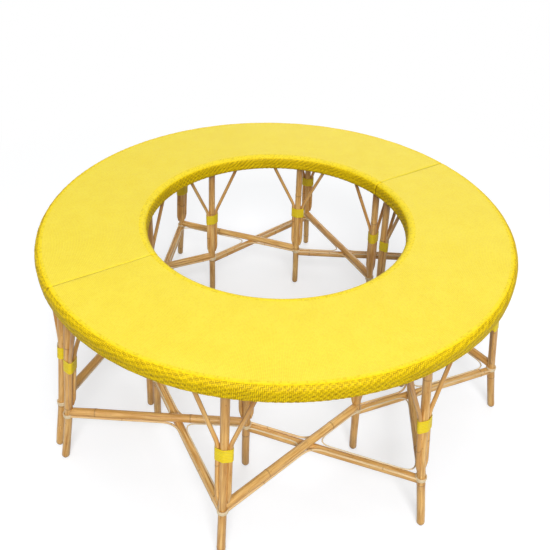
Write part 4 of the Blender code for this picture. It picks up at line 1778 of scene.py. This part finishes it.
@dataclass
class Studio:
    """The pale floor, the soft lights and the camera.

    Attributes:
        camera_place: Where the camera stands.
        camera_turn: The camera's heading, clockwise from +Y, in radians.
        camera_tilt: How far it looks down, in radians.
        camera_roll: How far it leans, in radians.
        lens: Focal length in millimetres.
        sensor: Width of the picture that it throws, in millimetres.
        sky: Strength of the even light from all round.
        lamps: Name, place, width and power in watts of each soft lamp.
        lit_height: Height of the place that the lamps face.
        floor_side: Half the width of the floor.
        shade_reach: The distances between which the floor turns from grey to plain white.
    """

    camera_place: tuple[float, float, float] = (-0.70478, -1.04487, 1.2497)
    camera_turn: float = math.radians(34.0) - 0.0012
    camera_tilt: float = 0.6472
    camera_roll: float = 0.0324
    lens: float = 39.838
    sensor: float = 36.0
    sky: float = 0.33
    lamps: tuple[tuple[str, tuple[float, float, float], float, float], ...] = (
        ("key", (-1.5, -2.8, 2.9), 1.8, 124.0), ("overhead", (0.2, 0.3, 4.2), 3.0, 44.0),
        ("fill", (2.6, 2.6, 2.2), 3.0, 34.0))
    lit_height: float = 0.25
    floor_side: float = 9.0
    shade_reach: tuple[float, float] = (0.75, 1.9)

    WHITE, BLACK = (1.0, 1.0, 1.0), (0.0, 0.0, 0.0)
    # The floor near the bench: its own colour and its glow as the camera sees them, and the colour that
    # it throws back onto the bench.
    FLOOR_NEAR = (0.56, 0.57, 0.59)
    FLOOR_GLOW = (0.51, 0.51, 0.51)
    FLOOR_BOUNCE = (0.20, 0.20, 0.20)
    FLOOR_ROUGHNESS = 0.9

    def camera(self) -> None:
        """Make the camera at the photograph's viewing angle."""
        turn, tilt, roll = self.camera_turn, self.camera_tilt, self.camera_roll
        forward = Vector((math.sin(turn) * math.cos(tilt), math.cos(turn) * math.cos(tilt), -math.sin(tilt)))
        level = Vector((math.cos(turn), -math.sin(turn), 0.0))
        above = level.cross(forward)
        right = math.cos(roll) * level + math.sin(roll) * above
        upward = -math.sin(roll) * level + math.cos(roll) * above
        data = bpy.data.cameras.new("camera")
        data.lens, data.sensor_width = self.lens, self.sensor
        made = bpy.data.objects.new("camera", data)
        axes = Matrix((right, upward, -forward)).transposed().to_4x4()
        made.matrix_world = Matrix.Translation(self.camera_place) @ axes
        bpy.context.scene.collection.objects.link(made)
        bpy.context.scene.camera = made

    def lamp(self, name: str, place: tuple[float, float, float], size: float, power: float) -> None:
        """Make a soft lamp that faces the bench.

        Args:
            name: The lamp's name.
            place: Where it hangs.
            size: Width of its square.
            power: Its power in watts.
        """
        data = bpy.data.lights.new(name, "AREA")
        data.size, data.energy = size, power
        made = bpy.data.objects.new(name, data)
        made.location = place
        view = Vector((0.0, 0.0, self.lit_height)) - Vector(place)
        made.rotation_euler = view.to_track_quat("-Z", "Y").to_euler()
        bpy.context.scene.collection.objects.link(made)

    @staticmethod
    def seen_directly(nodes: Nodes) -> bpy.types.NodeSocket:
        """1 for rays that show a surface to the camera, straight or in a reflection."""
        path = nodes.add("ShaderNodeLightPath", {})
        either = nodes.sum("MAXIMUM", path.outputs["Is Camera Ray"], path.outputs["Is Glossy Ray"])
        return nodes.sum("MAXIMUM", either, path.outputs["Is Transmission Ray"])

    def surroundings(self) -> None:
        """Make the world: even light, and plain white behind everything."""
        world = bpy.data.worlds.new("studio")
        world.use_nodes = True
        nodes = Nodes(world.node_tree)
        ground = world.node_tree.nodes["Background"]
        strength = nodes.mix(self.seen_directly(nodes), (self.sky,) * 3, self.WHITE)
        nodes.tree.links.new(strength, ground.inputs["Color"])
        ground.inputs["Strength"].default_value = 1.0
        bpy.context.scene.world = world

    def floor(self) -> None:
        """Make the pale floor, which keeps the bench's shadow."""
        side = self.floor_side
        corners = [(-side, -side, 0), (side, -side, 0), (side, side, 0), (-side, side, 0)]
        mesh = bpy.data.meshes.new("floor")
        mesh.from_pydata(corners, [], [(0, 1, 2, 3)])
        material, nodes, shader = plain_material("floor_white")
        shader.inputs["Roughness"].default_value = self.FLOOR_ROUGHNESS
        shader.inputs["Specular IOR Level"].default_value = 0.0
        shader.inputs["Emission Strength"].default_value = 1.0
        seen = self.seen_directly(nodes)
        place = nodes.add("ShaderNodeTexCoord", {}).outputs["Object"]
        reach = nodes.add("ShaderNodeVectorMath", {0: place}, operation="LENGTH").outputs["Value"]
        far = nodes.span(reach, *self.shade_reach)
        base = nodes.mix(far, self.FLOOR_NEAR, self.BLACK)
        glow = nodes.mix(far, self.FLOOR_GLOW, self.WHITE)
        nodes.tree.links.new(nodes.mix(seen, self.FLOOR_BOUNCE, base), shader.inputs["Base Color"])
        nodes.tree.links.new(nodes.mix(seen, self.BLACK, glow), shader.inputs["Emission Color"])
        mesh.materials.append(material)
        made = bpy.data.objects.new("floor", mesh)
        bpy.context.scene.collection.objects.link(made)

    def build(self) -> None:
        """Make the whole studio."""
        self.camera()
        self.surroundings()
        self.floor()
        for lamp in self.lamps:
            self.lamp(*lamp)
        bpy.context.scene.view_settings.view_transform = "Standard"
        log.info("studio: camera, floor, three lamps")


def main() -> None:
    """Build the bench and its studio, piece by piece."""
    logging.basicConfig(level=logging.INFO, format="%(message)s")
    Studio().build()
    finishes = Finishes()
    for half in Half:
        HalfBench(half).build(finishes)


if __name__ == "__main__":
    main()
